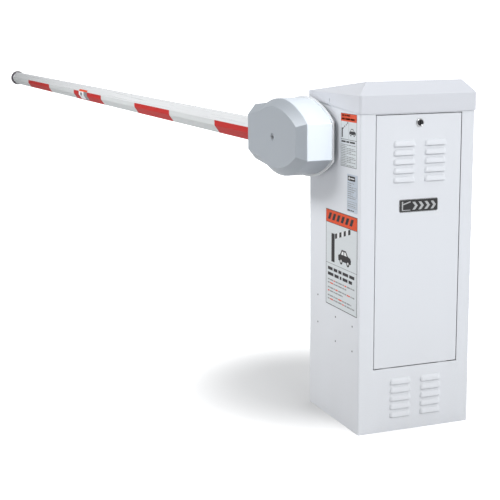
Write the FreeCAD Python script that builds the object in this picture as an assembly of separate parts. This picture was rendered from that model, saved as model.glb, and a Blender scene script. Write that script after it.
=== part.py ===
import FreeCAD, Part
import math
import os

# Parking barrier gate. Millimetres, +Z up. The origin is the centre of the cabinet's footprint
# on the ground. The service door faces +X, the arm's side of the cabinet faces -Y, and the
# lowered arm points along -X. Raising the arm turns it about +Y.

V = FreeCAD.Vector

# ---- cabinet ----
CABINET_X = 355.0
CABINET_Y = 370.0
CABINET_TOP = 995.0
SHEET = 2.5
BEND_R = 5.0
PANEL_LIP = 14.0                  # flat and bend that a side panel turns round each corner

# ---- lid ----
LID_OVERHANG = 4.0
LID_SHEET = 2.0
LID_CORNER_R = 9.0
LID_EAVE = 998.0
LID_RIDGE = 1036.0
LID_RIDGE_INSET_X = 33.0
LID_RIDGE_INSET_Y = 34.0
LID_SKIRT_FRONT = 947.0           # lower edge of the skirt at the door side
LID_SKIRT_BACK = 974.0            # lower edge of the skirt at the back
LID_SCREW_Y = (-120.0, 120.0)
LID_SCREW_Z = 985.0

# ---- service door ----
DOOR_WIDTH = 275.0
DOOR_HEIGHT = 744.0
DOOR_BOTTOM = 197.5
DOOR_CENTRE_Y = 3.0
DOOR_GAP = 2.2
DOOR_SHEET = 2.0
DOOR_DEPTH = 20.0
DOOR_HOOK_Y = (-90.0, 96.0)       # two hooks at its lower edge, behind the front panel
LOCK_Y = 4.0
LOCK_Z = 917.5
LOCK_BARREL_R = 9.5
LOCK_PLUG_R = 7.5

# ---- louvres ----
LOUVRE_WIDTH = 70.0
LOUVRE_HEIGHT = 18.5
LOUVRE_DEPTH = 6.5
LOUVRE_SHEET = 1.4
LOUVRE_ROWS = 5
DOOR_LOUVRE_PITCH = 25.8
DOOR_LOUVRE_TOP = 851.5           # lower lip of the top row on the door
DOOR_LOUVRE_Y = (-45.0, 56.0)
PANEL_LOUVRE_PITCH = 25.4
PANEL_LOUVRE_TOP = 145.0
PANEL_LOUVRE_Y = (-46.5, 54.5)

# ---- base ----
BASE_PLATE = 5.0
BASE_OPENING_X = 220.0
BASE_OPENING_Y = 236.0
ANCHOR_SPACING_X = 286.0
ANCHOR_SPACING_Y = 300.0
ANCHOR_HOLE_R = 7.0

# ---- main shaft and its bearings ----
PIVOT_X = -40.0
PIVOT_Z = 858.0
SHAFT_R = 19.0
RUNNING_FIT = 0.05
SHAFT_END_ARM = -278.0
SHAFT_END_FAR = 166.0
BEARING_PLATE = 8.0
BEARING_DEPTH = 34.0
BEARING_BOLT_OFFSET = 38.0

# ---- hub cover ----
HUB_GAP = 12.0                    # cabinet face to the back of the cover's backplate
HUB_BACKPLATE = 4.0
HUB_FRONT = -306.0                # outer face of the cover
HUB_CHAMFER = 25.0
HUB_WALL = 3.0
HUB_RIGHT = 24.0
HUB_LEFT = -399.5
POST_X = (-110.0, -330.0)         # stand-offs between the backplate and the arm bracket
COVER_SCREW_X = -190.0
COVER_SCREW_SEAT = 4.0            # depth of the recess that its head sits in

# ---- arm ----
ARM_Y = -253.0
ARM_WIDTH = 64.0
ARM_HEIGHT = 75.0
ARM_CHAMFER_Y = 20.0
ARM_CHAMFER_Z = 28.0
ARM_WALL = 2.5
ARM_START = -122.0
ARM_TIP = -5100.0
CAP_R = 46.0
TAPE = 0.4
RED_STRIPES = ((-4500.0, -3810.0), (-3125.0, -2505.0), (-1877.0, -1348.0), (-792.0, -402.0))
ARM_LABEL_SPAN = (-3000.0, -2812.0)

# ---- drive ----
CRANK_R = 90.0                    # shaft lever and reducer crank have the same radius
CRANK_ANGLE = 45.0                # above +X at rest, and as far below it with the arm up
CRANK_Y = 35.0
CRANK_THICK = 15.0
REDUCER_Z = 520.0
REDUCER_Y = -50.0
INPUT_Z = 455.0
MOTOR_Z = 308.0
BELT_X = 100.0
MOTOR_PULLEY_R = 32.0
REDUCER_PULLEY_R = 62.0
BELT_DEPTH = 8.0
ROD_EYE_Y = 52.0
ROD_EYE_THICK = 14.0
CRANK_PIN_R = 8.0
OPEN_PIVOT_CLEARANCE = 1.0
SHELF_Z = 232.0
SHELF_THICK = 6.0
SHELF_X = (-130.0, 150.0)
SHELF_FLANGE_TOP = 390.0
SHELF_RIVETS = ((-112.7, 280.0), (-112.7, 367.0), (17.5, 249.0), (17.5, 325.0), (134.0, 247.0),
                (134.0, 322.5))   # X and Z, in both side panels
TABLE_TOP = 405.0
TABLE_X = (-125.0, 45.0)
OUTPUT_SHAFT_R = 15.0
INPUT_SHAFT_R = 10.0
MOTOR_SHAFT_R = 8.0
ROD_R = 7.0

# ---- controls ----
BOX_X0, BOX_X1 = 20.0, 140.0      # control box; its other side is the cabinet's far panel
BOX_Y0, BOX_Z0, BOX_Z1 = 84.0, 500.0, 760.0
SWITCH_X = BOX_X1 - 2.0           # the rocker's pin
SWITCH_Y, SWITCH_Z = 130.0, 730.0
SENSOR_Y = (-92.0, -68.0)
SENSOR_SHELF_Z = 930.0

# ---- stops ----
STOP_Y0, STOP_Y1 = -132.0, -117.0
STOP_HALF = 15.0
BUMPER_LENGTH = 18.0
BUMPER_GAP = 0.4

# ---- arm clamp ----
BRACKET_THICK = 8.0
CLAMP_THICK = 6.0
CLAMP_BOLT_Z = 52.0
CLAMP_BOLT_X = (-165.0, -340.0)
CLAMP_BOLT_R = 5.0
KEY_HALF = 5.0

# ---- signs and plates: first and last X (or Y), then first and last Z ----
SIGN_THICK = 0.6
GATE_SIGN = (-52.0, 165.0, 355.0, 650.4)
NOTICE_SIGN = (50.0, 156.0, 790.0, 944.5)
RATING_PLATE = (95.0, 163.0, 660.8, 771.0)
BADGE = (-59.0, 67.0, 659.5, 697.0)

HALF_X = CABINET_X / 2
HALF_Y = CABINET_Y / 2
INNER_X = HALF_X - SHEET
INNER_Y = HALF_Y - SHEET
HUB_BACK = -HALF_Y - HUB_GAP
DOOR_Y0 = DOOR_CENTRE_Y - DOOR_WIDTH / 2
DOOR_Y1 = DOOR_CENTRE_Y + DOOR_WIDTH / 2
DOOR_TOP = DOOR_BOTTOM + DOOR_HEIGHT
ARM_OUTER = ARM_Y - ARM_WIDTH / 2
ARM_INNER = ARM_Y + ARM_WIDTH / 2
BRACKET_BACK = ARM_INNER + BRACKET_THICK


# ---------------------------------------------------------------- helpers

def box(x0, x1, y0, y1, z0, z1):
    return Part.makeBox(x1 - x0, y1 - y0, z1 - z0, V(x0, y0, z0))


def cyl_x(y, z, r, x0, x1):
    return Part.makeCylinder(r, x1 - x0, V(x0, y, z), V(1, 0, 0))


def cyl_y(x, z, r, y0, y1):
    return Part.makeCylinder(r, y1 - y0, V(x, y0, z), V(0, 1, 0))


def cyl_z(x, y, r, z0, z1):
    return Part.makeCylinder(r, z1 - z0, V(x, y, z0), V(0, 0, 1))


def prism(points, along):
    """A closed polygon of points, extruded by the vector along."""
    wire = Part.makePolygon(list(points) + [points[0]])
    return Part.Face(wire).extrude(along)


def hexagon(flats):
    """Six corners of a hexagon, as pairs, from its width across flats."""
    r = flats / math.sqrt(3)
    return [(r * math.cos(math.radians(60 * k)), r * math.sin(math.radians(60 * k))) for k in range(6)]


def hexagon_x(y, z, flats, x0, x1):
    return prism([V(x0, y + a, z + b) for a, b in hexagon(flats)], V(x1 - x0, 0, 0))


def hexagon_y(x, z, flats, y0, y1):
    return prism([V(x + a, y0, z + b) for a, b in hexagon(flats)], V(0, y1 - y0, 0))


def hexagon_z(x, y, flats, z0, z1):
    return prism([V(x + a, y + b, z0) for a, b in hexagon(flats)], V(0, 0, z1 - z0))


def post(x0, x1, y0, y1, z0, z1, r):
    """A box with its four vertical edges rounded."""
    block = box(x0, x1, y0, y1, z0, z1)
    edges = [e for e in block.Edges if abs(e.tangentAt(e.FirstParameter).z) > 0.99]
    return block.makeFillet(r, edges)


def plate_x(x0, x1, y0, y1, z0, z1, r):
    """A plate facing X, with its four corners rounded."""
    block = box(x0, x1, y0, y1, z0, z1)
    edges = [e for e in block.Edges if abs(e.tangentAt(e.FirstParameter).x) > 0.99]
    return block.makeFillet(r, edges)


def plate_y(x0, x1, y0, y1, z0, z1, r):
    """A plate facing Y, with its four corners rounded."""
    block = box(x0, x1, y0, y1, z0, z1)
    edges = [e for e in block.Edges if abs(e.tangentAt(e.FirstParameter).y) > 0.99]
    return block.makeFillet(r, edges)


def fuse(shapes):
    return shapes[0].multiFuse(shapes[1:]).removeSplitter()


def cut(shape, tools):
    return shape.cut(Part.Compound(tools)) if tools else shape


def group(shapes):
    return Part.Compound(shapes)


def mirror_y(shape):
    return shape.mirror(V(0, 0, 0), V(0, 1, 0))


# ---------------------------------------------------------------- cabinet shell

def cabinet_tube():
    outer = post(-HALF_X, HALF_X, -HALF_Y, HALF_Y, 0, CABINET_TOP, BEND_R)
    inner = post(-INNER_X, INNER_X, -INNER_Y, INNER_Y, -1, CABINET_TOP + 1, BEND_R - SHEET)
    return outer.cut(inner)


def side_panel(tube):
    """The panel on the arm's side, with the bends at both of its corners."""
    reach = HALF_Y - PANEL_LIP
    panel = tube.common(box(-HALF_X - 1, HALF_X + 1, -HALF_Y - 1, -reach, -1, CABINET_TOP + 1))
    return cut(panel, [cyl_y(x, z, 2.0, -HALF_Y - 1, -INNER_Y + 1) for x, z in SHELF_RIVETS])


def louvre(x, y, z, inset):
    """The pressed hood of a louvre: wide at the sheet, narrow at its lip, flat underneath."""
    half = LOUVRE_WIDTH / 2 - inset
    low = z if inset == 0 else z - 1
    root = hood_outline(x - 0.2 - inset, y, half, low, z + LOUVRE_HEIGHT - inset, 8.0 - inset)
    lip = hood_outline(x + LOUVRE_DEPTH - inset, y, half - 5, low, z + 7.0 - inset, 3.2 - inset)
    return Part.makeLoft([root, lip], True, True)


def hood_outline(x, y, half, z0, z1, r):
    """A rectangle facing X whose two upper corners are round."""
    s = r * (1 - math.sqrt(0.5))
    p = [V(x, y - half, z0), V(x, y + half, z0), V(x, y + half, z1 - r), V(x, y + half - r, z1),
         V(x, y - half + r, z1), V(x, y - half, z1 - r)]
    edges = [Part.makeLine(p[0], p[1]), Part.makeLine(p[1], p[2]),
             Part.Arc(p[2], V(x, y + half - s, z1 - s), p[3]).toShape(), Part.makeLine(p[3], p[4]),
             Part.Arc(p[4], V(x, y - half + s, z1 - s), p[5]).toShape(), Part.makeLine(p[5], p[0])]
    return Part.Wire(edges)


def add_louvres(sheet, columns, top, pitch):
    places = [(y, top - row * pitch) for y in columns for row in range(LOUVRE_ROWS)]
    hoods = [louvre(HALF_X, y, z, 0) for y, z in places]
    hollows = [louvre(HALF_X, y, z, LOUVRE_SHEET) for y, z in places]
    return cut(sheet.multiFuse(hoods), hollows)


def front_panel(tube):
    reach = HALF_Y - PANEL_LIP
    sheet = tube.common(box(0, HALF_X + 1, -reach, reach, -1, CABINET_TOP + 1))
    opening = plate_x(INNER_X - 5, HALF_X + 5, DOOR_Y0 - DOOR_GAP, DOOR_Y1 + DOOR_GAP,
                      DOOR_BOTTOM - DOOR_GAP, DOOR_TOP + DOOR_GAP, 3.0)
    sheet = sheet.cut(opening)
    return add_louvres(sheet, PANEL_LOUVRE_Y, PANEL_LOUVRE_TOP, PANEL_LOUVRE_PITCH)


def back_panel(tube):
    reach = HALF_Y - PANEL_LIP
    return tube.common(box(-HALF_X - 1, 0, -reach, reach, -1, CABINET_TOP + 1))


def door_frame():
    """Jambs and stop flange behind the front panel, on three sides of the door."""
    y0, y1 = DOOR_Y0 - DOOR_GAP, DOOR_Y1 + DOOR_GAP
    z0, z1 = DOOR_BOTTOM + 6, DOOR_TOP + DOOR_GAP
    back, front = INNER_X - 25, INNER_X
    ring = box(back, front, y0 - 2, y1 + 2, z0, z1 + 2)
    ring = ring.cut(box(back - 1, front + 1, y0, y1, z0 - 1, z1))
    stop = box(back, back + 2, y0, y1, z0, z1)
    stop = stop.cut(box(back - 1, back + 3, y0 + 14, y1 - 14, z0 - 1, z1 - 14))
    return fuse([ring, stop])


def base_frame():
    plate = post(-INNER_X, INNER_X, -INNER_Y, INNER_Y, 0, BASE_PLATE, BEND_R - SHEET)
    opening = post(-BASE_OPENING_X / 2, BASE_OPENING_X / 2, -BASE_OPENING_Y / 2, BASE_OPENING_Y / 2,
                   -1, BASE_PLATE + 1, 12.0)
    dx, dy = ANCHOR_SPACING_X / 2, ANCHOR_SPACING_Y / 2
    anchors = [cyl_z(sx * dx, sy * dy, ANCHOR_HOLE_R, -1, BASE_PLATE + 1)
               for sx in (-1, 1) for sy in (-1, 1)]
    return cut(plate, [opening] + anchors)


def lid_block(inset, deeper):
    """The lid's solid outline, inset by a wall and reaching deeper below its skirt."""
    hx, hy = HALF_X + LID_OVERHANG - inset, HALF_Y + LID_OVERHANG - inset
    rx = HALF_X + LID_OVERHANG - LID_RIDGE_INSET_X - 0.6 * inset
    ry = HALF_Y + LID_OVERHANG - LID_RIDGE_INSET_Y - 0.6 * inset
    eave, ridge = LID_EAVE - 0.4 * inset, LID_RIDGE - 1.1 * inset
    low_front, low_back = LID_SKIRT_FRONT - deeper, LID_SKIRT_BACK - deeper
    f = {s: (V(hx, s * hy, low_front), V(hx, s * hy, eave), V(rx, s * ry, ridge)) for s in (-1, 1)}
    b = {s: (V(-hx, s * hy, low_back), V(-hx, s * hy, eave)) for s in (-1, 1)}
    faces = [
        (f[-1][0], f[1][0], b[1][0], b[-1][0]),
        (f[-1][0], f[-1][1], f[1][1], f[1][0]),
        (b[-1][0], b[1][0], b[1][1], b[-1][1]),
        (f[-1][1], f[-1][2], f[1][2], f[1][1]),
        (b[-1][1], b[1][1], f[1][2], f[-1][2]),
    ]
    for s in (-1, 1):
        faces.append((f[s][0], b[s][0], b[s][1], f[s][1]))
        faces.append((f[s][1], b[s][1], f[s][2]))
    shell = Part.makeShell([Part.Face(Part.makePolygon(list(c) + [c[0]])) for c in faces])
    solid = Part.makeSolid(shell)
    corners = post(-hx, hx, -hy, hy, low_front - 20, ridge + 20, LID_CORNER_R - inset)
    return solid.common(corners)


def lid_hood():
    hood = lid_block(0, 0).cut(lid_block(LID_SHEET, 15))
    slots = [box(-25.7, -22.5, s * HALF_Y - 10, s * HALF_Y + 10, 968.0, 982.0) for s in (-1, 1)]
    holes = [cyl_x(y, LID_SCREW_Z, 3.2, -HALF_X - 8, -HALF_X + 2) for y in LID_SCREW_Y]
    return cut(hood, slots + holes)


def lid_screws():
    """Two hexagon-headed screws through the lid's back skirt into the back panel."""
    skirt = -HALF_X - LID_OVERHANG
    screws = []
    for y in LID_SCREW_Y:
        head = hexagon_x(y, LID_SCREW_Z, 10.0, skirt - 4.5, skirt - 1.2)
        flange = cyl_x(y, LID_SCREW_Z, 7.0, skirt - 1.2, skirt)
        thread = cyl_x(y, LID_SCREW_Z, 3.0, skirt - 1.3, -HALF_X)
        screws.append(fuse([head, flange, thread]))
    return group(screws)


# ---------------------------------------------------------------- fixed parts on the cabinet

def shelf_rivets():
    near = [fuse([cyl_y(x, z, 2.0, -HALF_Y, -INNER_Y + 4), cyl_y(x, z, 3.0, -HALF_Y - 1, -HALF_Y)])
            for x, z in SHELF_RIVETS]
    return group(near + [mirror_y(r) for r in near])


def drive_shelf():
    x0, x1 = SHELF_X
    plate = box(x0, x1, -INNER_Y, INNER_Y, SHELF_Z, SHELF_Z + SHELF_THICK)
    flange = box(x0, x1, -INNER_Y, -INNER_Y + 4, SHELF_Z, SHELF_FLANGE_TOP)
    holes = [cyl_y(x, z, 2.0, -INNER_Y - 1, -INNER_Y + 5) for x, z in SHELF_RIVETS]
    holes += [mirror_y(h) for h in holes]
    wiring = post(-110, -70, 60, 140, SHELF_Z - 1, SHELF_Z + SHELF_THICK + 1, 8)
    return cut(fuse([plate, flange, mirror_y(flange)]), holes + [wiring])


def bearing_plates():
    y0, y1 = -INNER_Y, -INNER_Y + BEARING_PLATE
    plate = plate_y(PIVOT_X - 90, PIVOT_X + 90, y0, y1, PIVOT_Z - 90, PIVOT_Z + 90, 10)
    near = plate.cut(cyl_y(PIVOT_X, PIVOT_Z, SHAFT_R + 6, y0 - 1, y1 + 1))
    return group([near, mirror_y(plate)])


def bearing_bolt_points():
    offset = BEARING_BOLT_OFFSET
    return [(PIVOT_X + sx * offset, PIVOT_Z + sz * offset) for sx in (-1, 1) for sz in (-1, 1)]


def shaft_bearings():
    """Two square-flanged bearing units, one on each bearing plate."""
    y0 = -INNER_Y + BEARING_PLATE
    y1 = y0 + BEARING_DEPTH
    flange = plate_y(PIVOT_X - 52, PIVOT_X + 52, y0, y0 + 12, PIVOT_Z - 52, PIVOT_Z + 52, 12)
    boss = cyl_y(PIVOT_X, PIVOT_Z, 36, y0, y1)
    boss = boss.makeFillet(2.5, [e for e in boss.Edges if abs(e.CenterOfMass.y - y1) < 0.01])
    unit = fuse([flange, boss]).cut(cyl_y(PIVOT_X, PIVOT_Z, SHAFT_R + RUNNING_FIT, y0 - 1, y1 + 1))
    unit = cut(unit, [cyl_y(x, z, 6.0, y0 - 1, y0 + 13) for x, z in bearing_bolt_points()])
    return group([unit, mirror_y(unit)])


def bearing_bolts():
    y0 = -INNER_Y + BEARING_PLATE
    near = [fuse([cyl_y(x, z, 6.0, y0, y0 + 12), hexagon_y(x, z, 18.0, y0 + 12, y0 + 20)])
            for x, z in bearing_bolt_points()]
    return group(near + [mirror_y(b) for b in near])


def reducer_table():
    """A bridge over the motor that carries the gear reducer."""
    y0, y1 = REDUCER_Y - 80, REDUCER_Y + 80
    x0, x1 = TABLE_X
    z0 = SHELF_Z + SHELF_THICK
    top = box(x0, x1, y0, y1, TABLE_TOP - 8, TABLE_TOP)
    legs = [box(x0, x1, y, y + 8, z0, TABLE_TOP - 8) for y in (y0, y1 - 8)]
    feet = [box(x0, x1, y0 - 18, y0, z0, z0 + 6), box(x0, x1, y1, y1 + 12, z0, z0 + 6)]
    window = plate_y(x0 + 30, x1 - 30, y0 - 1, y1 + 1, z0 + 50, TABLE_TOP - 40, 12)
    return fuse([top] + legs + feet).cut(window)


def gear_reducer():
    """A worm gear reducer: a round wheel case over a worm case, on a foot."""
    foot = post(*TABLE_X, REDUCER_Y - 75, REDUCER_Y + 75, TABLE_TOP, TABLE_TOP + 12, 8)
    case = box(-105, 25, REDUCER_Y - 48, REDUCER_Y + 48, TABLE_TOP + 12, REDUCER_Z)
    wheel = cyl_y(PIVOT_X, REDUCER_Z, 78, REDUCER_Y - 48, REDUCER_Y + 48)
    ribs = [cyl_y(PIVOT_X, REDUCER_Z, 84, REDUCER_Y + y, REDUCER_Y + y + 6) for y in (-40, -22, -4, 14, 32)]
    worm = cyl_x(REDUCER_Y, INPUT_Z, 34, -122, 41)
    boss = cyl_y(PIVOT_X, REDUCER_Z, 34, REDUCER_Y + 48, REDUCER_Y + 60)
    filler = cyl_z(PIVOT_X - 30, REDUCER_Y, 9, REDUCER_Z + 60, REDUCER_Z + 88)
    body = fuse([foot, case, wheel, worm, boss, filler] + ribs)
    bores = [cyl_y(PIVOT_X, REDUCER_Z, OUTPUT_SHAFT_R + RUNNING_FIT, REDUCER_Y - 10, REDUCER_Y + 61),
             cyl_x(REDUCER_Y, INPUT_Z, INPUT_SHAFT_R + RUNNING_FIT, -30, 42)]
    bolts = [cyl_z(x, y, 5.0, TABLE_TOP - 1, TABLE_TOP + 13) for x, y in drive_bolt_points()]
    return cut(body, bores + bolts)


def drive_bolt_points():
    return [(x, REDUCER_Y + s * 66) for x in (-115.0, 35.0) for s in (-1, 1)]


def drive_motor():
    """A capacitor motor on a cradle foot, its shaft towards the door."""
    body = cyl_x(REDUCER_Y, MOTOR_Z, 56, -92, 42)
    bells = [cyl_x(REDUCER_Y, MOTOR_Z, 58, -112, -92), cyl_x(REDUCER_Y, MOTOR_Z, 58, 42, 60)]
    bells = [b.makeFillet(5.0, [e for e in b.Edges if e.Closed]) for b in bells]
    ribs = [box(-92, 42, REDUCER_Y - 57.5, REDUCER_Y + 57.5, z - 1.5, z + 1.5)
            for z in (MOTOR_Z - 14, MOTOR_Z, MOTOR_Z + 14)]
    nose = cyl_x(REDUCER_Y, MOTOR_Z, 24, 60, 68)
    z0 = SHELF_Z + SHELF_THICK
    foot = box(-85, 35, REDUCER_Y - 52, REDUCER_Y + 52, z0, z0 + 6)
    cradle = box(-75, 25, REDUCER_Y - 38, REDUCER_Y + 38, z0, MOTOR_Z - 30)
    body = fuse([body, nose, foot, cradle] + bells + ribs)
    bore = cyl_x(REDUCER_Y, MOTOR_Z, MOTOR_SHAFT_R + RUNNING_FIT, -60, 69)
    bolts = [cyl_z(x, y, 4.0, z0 - 1, z0 + 7) for x, y in motor_bolt_points()]
    return cut(body, [bore] + bolts)


def motor_bolt_points():
    return [(x, REDUCER_Y + s * 45) for x in (-75.0, 25.0) for s in (-1, 1)]


def drive_bolts():
    """The reducer's four bolts and the motor's four."""
    z = TABLE_TOP
    reducer = [fuse([cyl_z(x, y, 5.0, z, z + 12), hexagon_z(x, y, 16, z + 12, z + 19)])
               for x, y in drive_bolt_points()]
    z = SHELF_Z + SHELF_THICK
    motor = [fuse([cyl_z(x, y, 4.0, z, z + 6), hexagon_z(x, y, 13, z + 6, z + 11.5)])
             for x, y in motor_bolt_points()]
    return group(reducer + motor)


def belt_path(grow):
    """Outline of the belt run round both pulleys, grown by a distance."""
    small, large = MOTOR_PULLEY_R + grow, REDUCER_PULLEY_R + grow
    rise = INPUT_Z - MOTOR_Z
    tilt = math.asin((large - small) / rise)
    c, s = math.cos(tilt), math.sin(tilt)
    x, y = BELT_X - 5, REDUCER_Y
    low_l, low_r = [V(x, y + side * small * c, MOTOR_Z - small * s) for side in (-1, 1)]
    top_l, top_r = [V(x, y + side * large * c, INPUT_Z - large * s) for side in (-1, 1)]
    edges = [Part.makeLine(low_r, top_r), Part.Arc(top_r, V(x, y, INPUT_Z + large), top_l).toShape(),
             Part.makeLine(top_l, low_l), Part.Arc(low_l, V(x, y, MOTOR_Z - small), low_r).toShape()]
    return Part.Face(Part.Wire(edges)).extrude(V(10, 0, 0))


def drive_belt():
    return belt_path(-0.5).cut(belt_path(-BELT_DEPTH))


def pulley(z, r, bore_r):
    """A V-belt pulley facing X, with its groove, web and hub."""
    x = BELT_X
    rim = cyl_x(REDUCER_Y, z, r + 1.5, x - 9, x + 9)
    floor = r - BELT_DEPTH - 0.6
    outline = [V(x - 5.4, 0, r + 3), V(x - 5.4, 0, floor), V(x + 5.4, 0, floor), V(x + 5.4, 0, r + 3)]
    groove = Part.Face(Part.makePolygon(outline + [outline[0]])).revolve(V(0, 0, 0), V(1, 0, 0), 360)
    groove.translate(V(0, REDUCER_Y, z))
    hub = cyl_x(REDUCER_Y, z, bore_r + 8, x - 16, x + 9)
    body = fuse([rim, hub]).cut(groove)
    recess = cyl_x(REDUCER_Y, z, r - BELT_DEPTH - 6, x + 4, x + 10)
    recess = recess.cut(cyl_x(REDUCER_Y, z, bore_r + 8, x, x + 11))
    return cut(body, [recess, cyl_x(REDUCER_Y, z, bore_r, x - 17, x + 10)])


# ---------------------------------------------------------------- control box

def control_box():
    """A sheet box against the far panel, open towards the door."""
    wall = 1.5
    outer = box(BOX_X0, BOX_X1, BOX_Y0, INNER_Y, BOX_Z0, BOX_Z1)
    return outer.cut(box(BOX_X0 + wall, BOX_X1 + 1, BOX_Y0 + wall, INNER_Y - wall,
                         BOX_Z0 + wall, BOX_Z1 - wall))


def control_cover():
    lid = plate_x(BOX_X1, BOX_X1 + 2, BOX_Y0, INNER_Y - 0.5, BOX_Z0, BOX_Z1, 3)
    screws = [cyl_x(y, z, 3.0, BOX_X1 + 1, BOX_X1 + 4) for y in (BOX_Y0 + 8, INNER_Y - 8)
              for z in (BOX_Z0 + 8, BOX_Z1 - 8)]
    window = plate_x(BOX_X1 - 1, BOX_X1 + 3, SWITCH_Y - 11.2, SWITCH_Y + 11.2,
                     SWITCH_Z - 12.2, SWITCH_Z + 12.2, 2)
    return fuse([lid] + screws).cut(window)


def switch_body():
    """The power switch's fixed housing, snapped into the control cover."""
    x, y, z = BOX_X1, SWITCH_Y, SWITCH_Z
    block = plate_x(x - 20, x + 2, y - 11, y + 11, z - 12, z + 12, 2)
    bezel = plate_x(x + 2, x + 4, y - 13, y + 13, z - 14, z + 14, 3)
    slot = box(x - 10, x + 5, y - 6.5, y + 6.5, z - 10.8, z + 10.8)
    return fuse([block, bezel]).cut(slot)


def switch_rocker():
    """The rocker of the power switch, on a pin along Y."""
    pairs = ((-4, -5), (-4, 5), (4.5, 8.6), (5.6, 0), (8.0, -7.6))
    return prism([V(SWITCH_X + x, SWITCH_Y - 6, SWITCH_Z + z) for x, z in pairs], V(0, 12, 0))


def control_board():
    """The board on four posts, with its transformer, terminals, relays, capacitor and a chip."""
    face = BOX_X0 + 32
    board = box(face - 2, face, 90, 176, 512, 700)
    transformer = box(face, face + 40, 96, 136, 640, 690)
    terminals = box(face, face + 14, 96, 170, 516, 530)
    relays = [box(face, face + 18, 145, 165, z, z + 40) for z in (560, 610)]
    capacitor = cyl_x(115, 585, 14, face, face + 32)
    chip = box(face, face + 8, 100, 130, 545, 560)
    posts = [cyl_x(y, z, 4, BOX_X0 + 1.5, face - 2) for y in (98, 168) for z in (520, 692)]
    return fuse([board, transformer, terminals, capacitor, chip] + relays + posts)


# ---------------------------------------------------------------- limit sensors and stops

def sensor_bracket():
    y0, z = -INNER_Y + BEARING_PLATE, SENSOR_SHELF_Z
    shelf = box(PIVOT_X - 32, PIVOT_X + 32, y0, -52, z, z + 3)
    flange = box(PIVOT_X - 32, PIVOT_X + 32, y0, y0 + 3, z - 17, z)
    holes = [cyl_z(PIVOT_X, y, 6.0, z - 5, z + 10) for y in SENSOR_Y]
    return cut(fuse([shelf, flange]), holes)


def limit_sensors():
    """Threaded proximity sensors with lock nuts above and below their bracket."""
    sensors = []
    for y in SENSOR_Y:
        barrel = cyl_z(PIVOT_X, y, 6.0, PIVOT_Z + 46, SENSOR_SHELF_Z + 28)
        tail = cyl_z(PIVOT_X, y, 4.0, SENSOR_SHELF_Z + 28, SENSOR_SHELF_Z + 42)
        nuts = [hexagon_z(PIVOT_X, y, 17, z, z + 4) for z in (SENSOR_SHELF_Z - 4, SENSOR_SHELF_Z + 3)]
        sensors.append(fuse([barrel, tail] + nuts))
    return group(sensors)


def limit_cams():
    """Two discs with raised lobes, which pass under the sensors at the ends of the stroke."""
    cams = []
    for y, turn in zip(SENSOR_Y, (0.0, 90.0)):
        disc = cyl_y(PIVOT_X, PIVOT_Z, 37, y - 4, y + 4)
        lobe = Part.makeCylinder(43, 8, V(PIVOT_X, y - 4, PIVOT_Z), V(0, 1, 0), 36)
        lobe.rotate(V(PIVOT_X, 0, PIVOT_Z), V(0, 1, 0), -90 - 18 - turn)
        collar = cyl_y(PIVOT_X, PIVOT_Z, 26, y - 8, y + 8)
        cams.append(fuse([disc, lobe, collar]).cut(cyl_y(PIVOT_X, PIVOT_Z, SHAFT_R, y - 9, y + 9)))
    return group(cams)


def stop_arm():
    """A short arm on the shaft that meets a rubber bumper at each end of the stroke."""
    arm = box(PIVOT_X, PIVOT_X + 82, STOP_Y0, STOP_Y1, PIVOT_Z - STOP_HALF, PIVOT_Z + STOP_HALF)
    arm.rotate(V(PIVOT_X, 0, PIVOT_Z), V(0, 1, 0), 45)
    hub = cyl_y(PIVOT_X, PIVOT_Z, 32, STOP_Y0, STOP_Y1 + 8)
    return fuse([arm, hub]).cut(cyl_y(PIVOT_X, PIVOT_Z, SHAFT_R, STOP_Y0 - 1, STOP_Y1 + 9))


def at_stop(shape, end):
    """Turns a piece drawn for an arm along +X to the lowered end or the raised end."""
    shape.rotate(V(PIVOT_X, 0, PIVOT_Z), V(0, 1, 0), 45 if end == 0 else 135)
    return shape


def stop_bumpers():
    y, x = (STOP_Y0 + STOP_Y1) / 2, PIVOT_X + 66
    bumpers = []
    for end, side in ((0, 1), (1, -1)):
        z0 = PIVOT_Z + side * (STOP_HALF + BUMPER_GAP)
        z1 = z0 + side * BUMPER_LENGTH
        bumpers.append(at_stop(cyl_z(x, y, 12, min(z0, z1), max(z0, z1)), end))
    return group(bumpers)


def stop_brackets():
    y0 = -INNER_Y + BEARING_PLATE
    brackets = []
    for end, side in ((0, 1), (1, -1)):
        z0 = PIVOT_Z + side * (STOP_HALF + BUMPER_GAP + BUMPER_LENGTH)
        z1 = z0 + side * 6
        bracket = box(PIVOT_X + 50, PIVOT_X + 84, y0, STOP_Y1 + 8, min(z0, z1), max(z0, z1))
        brackets.append(at_stop(bracket, end))
    return group(brackets)


# ---------------------------------------------------------------- signs

def sign(x0, x1, z0, z1, corner):
    """A thin plate on the arm's side of the cabinet."""
    return plate_y(x0, x1, -HALF_Y - SIGN_THICK, -HALF_Y, z0, z1, corner)


# ---------------------------------------------------------------- service door

def service_door():
    front, back = HALF_X, HALF_X - DOOR_DEPTH
    pan = plate_x(back, front, DOOR_Y0, DOOR_Y1, DOOR_BOTTOM, DOOR_TOP, 2.8)
    hollow = box(back - 1, front - DOOR_SHEET, DOOR_Y0 + DOOR_SHEET, DOOR_Y1 - DOOR_SHEET,
                 DOOR_BOTTOM + DOOR_SHEET, DOOR_TOP - DOOR_SHEET)
    pan = pan.cut(hollow)
    hooks = [box(back + 12, back + 15, y - 15, y + 15, DOOR_BOTTOM - 14, DOOR_BOTTOM + 1)
             for y in DOOR_HOOK_Y]
    pan = pan.multiFuse(hooks)
    pan = add_louvres(pan, DOOR_LOUVRE_Y, DOOR_LOUVRE_TOP, DOOR_LOUVRE_PITCH)
    return pan.cut(cyl_x(LOCK_Y, LOCK_Z, LOCK_BARREL_R, back, front + 5))


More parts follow.
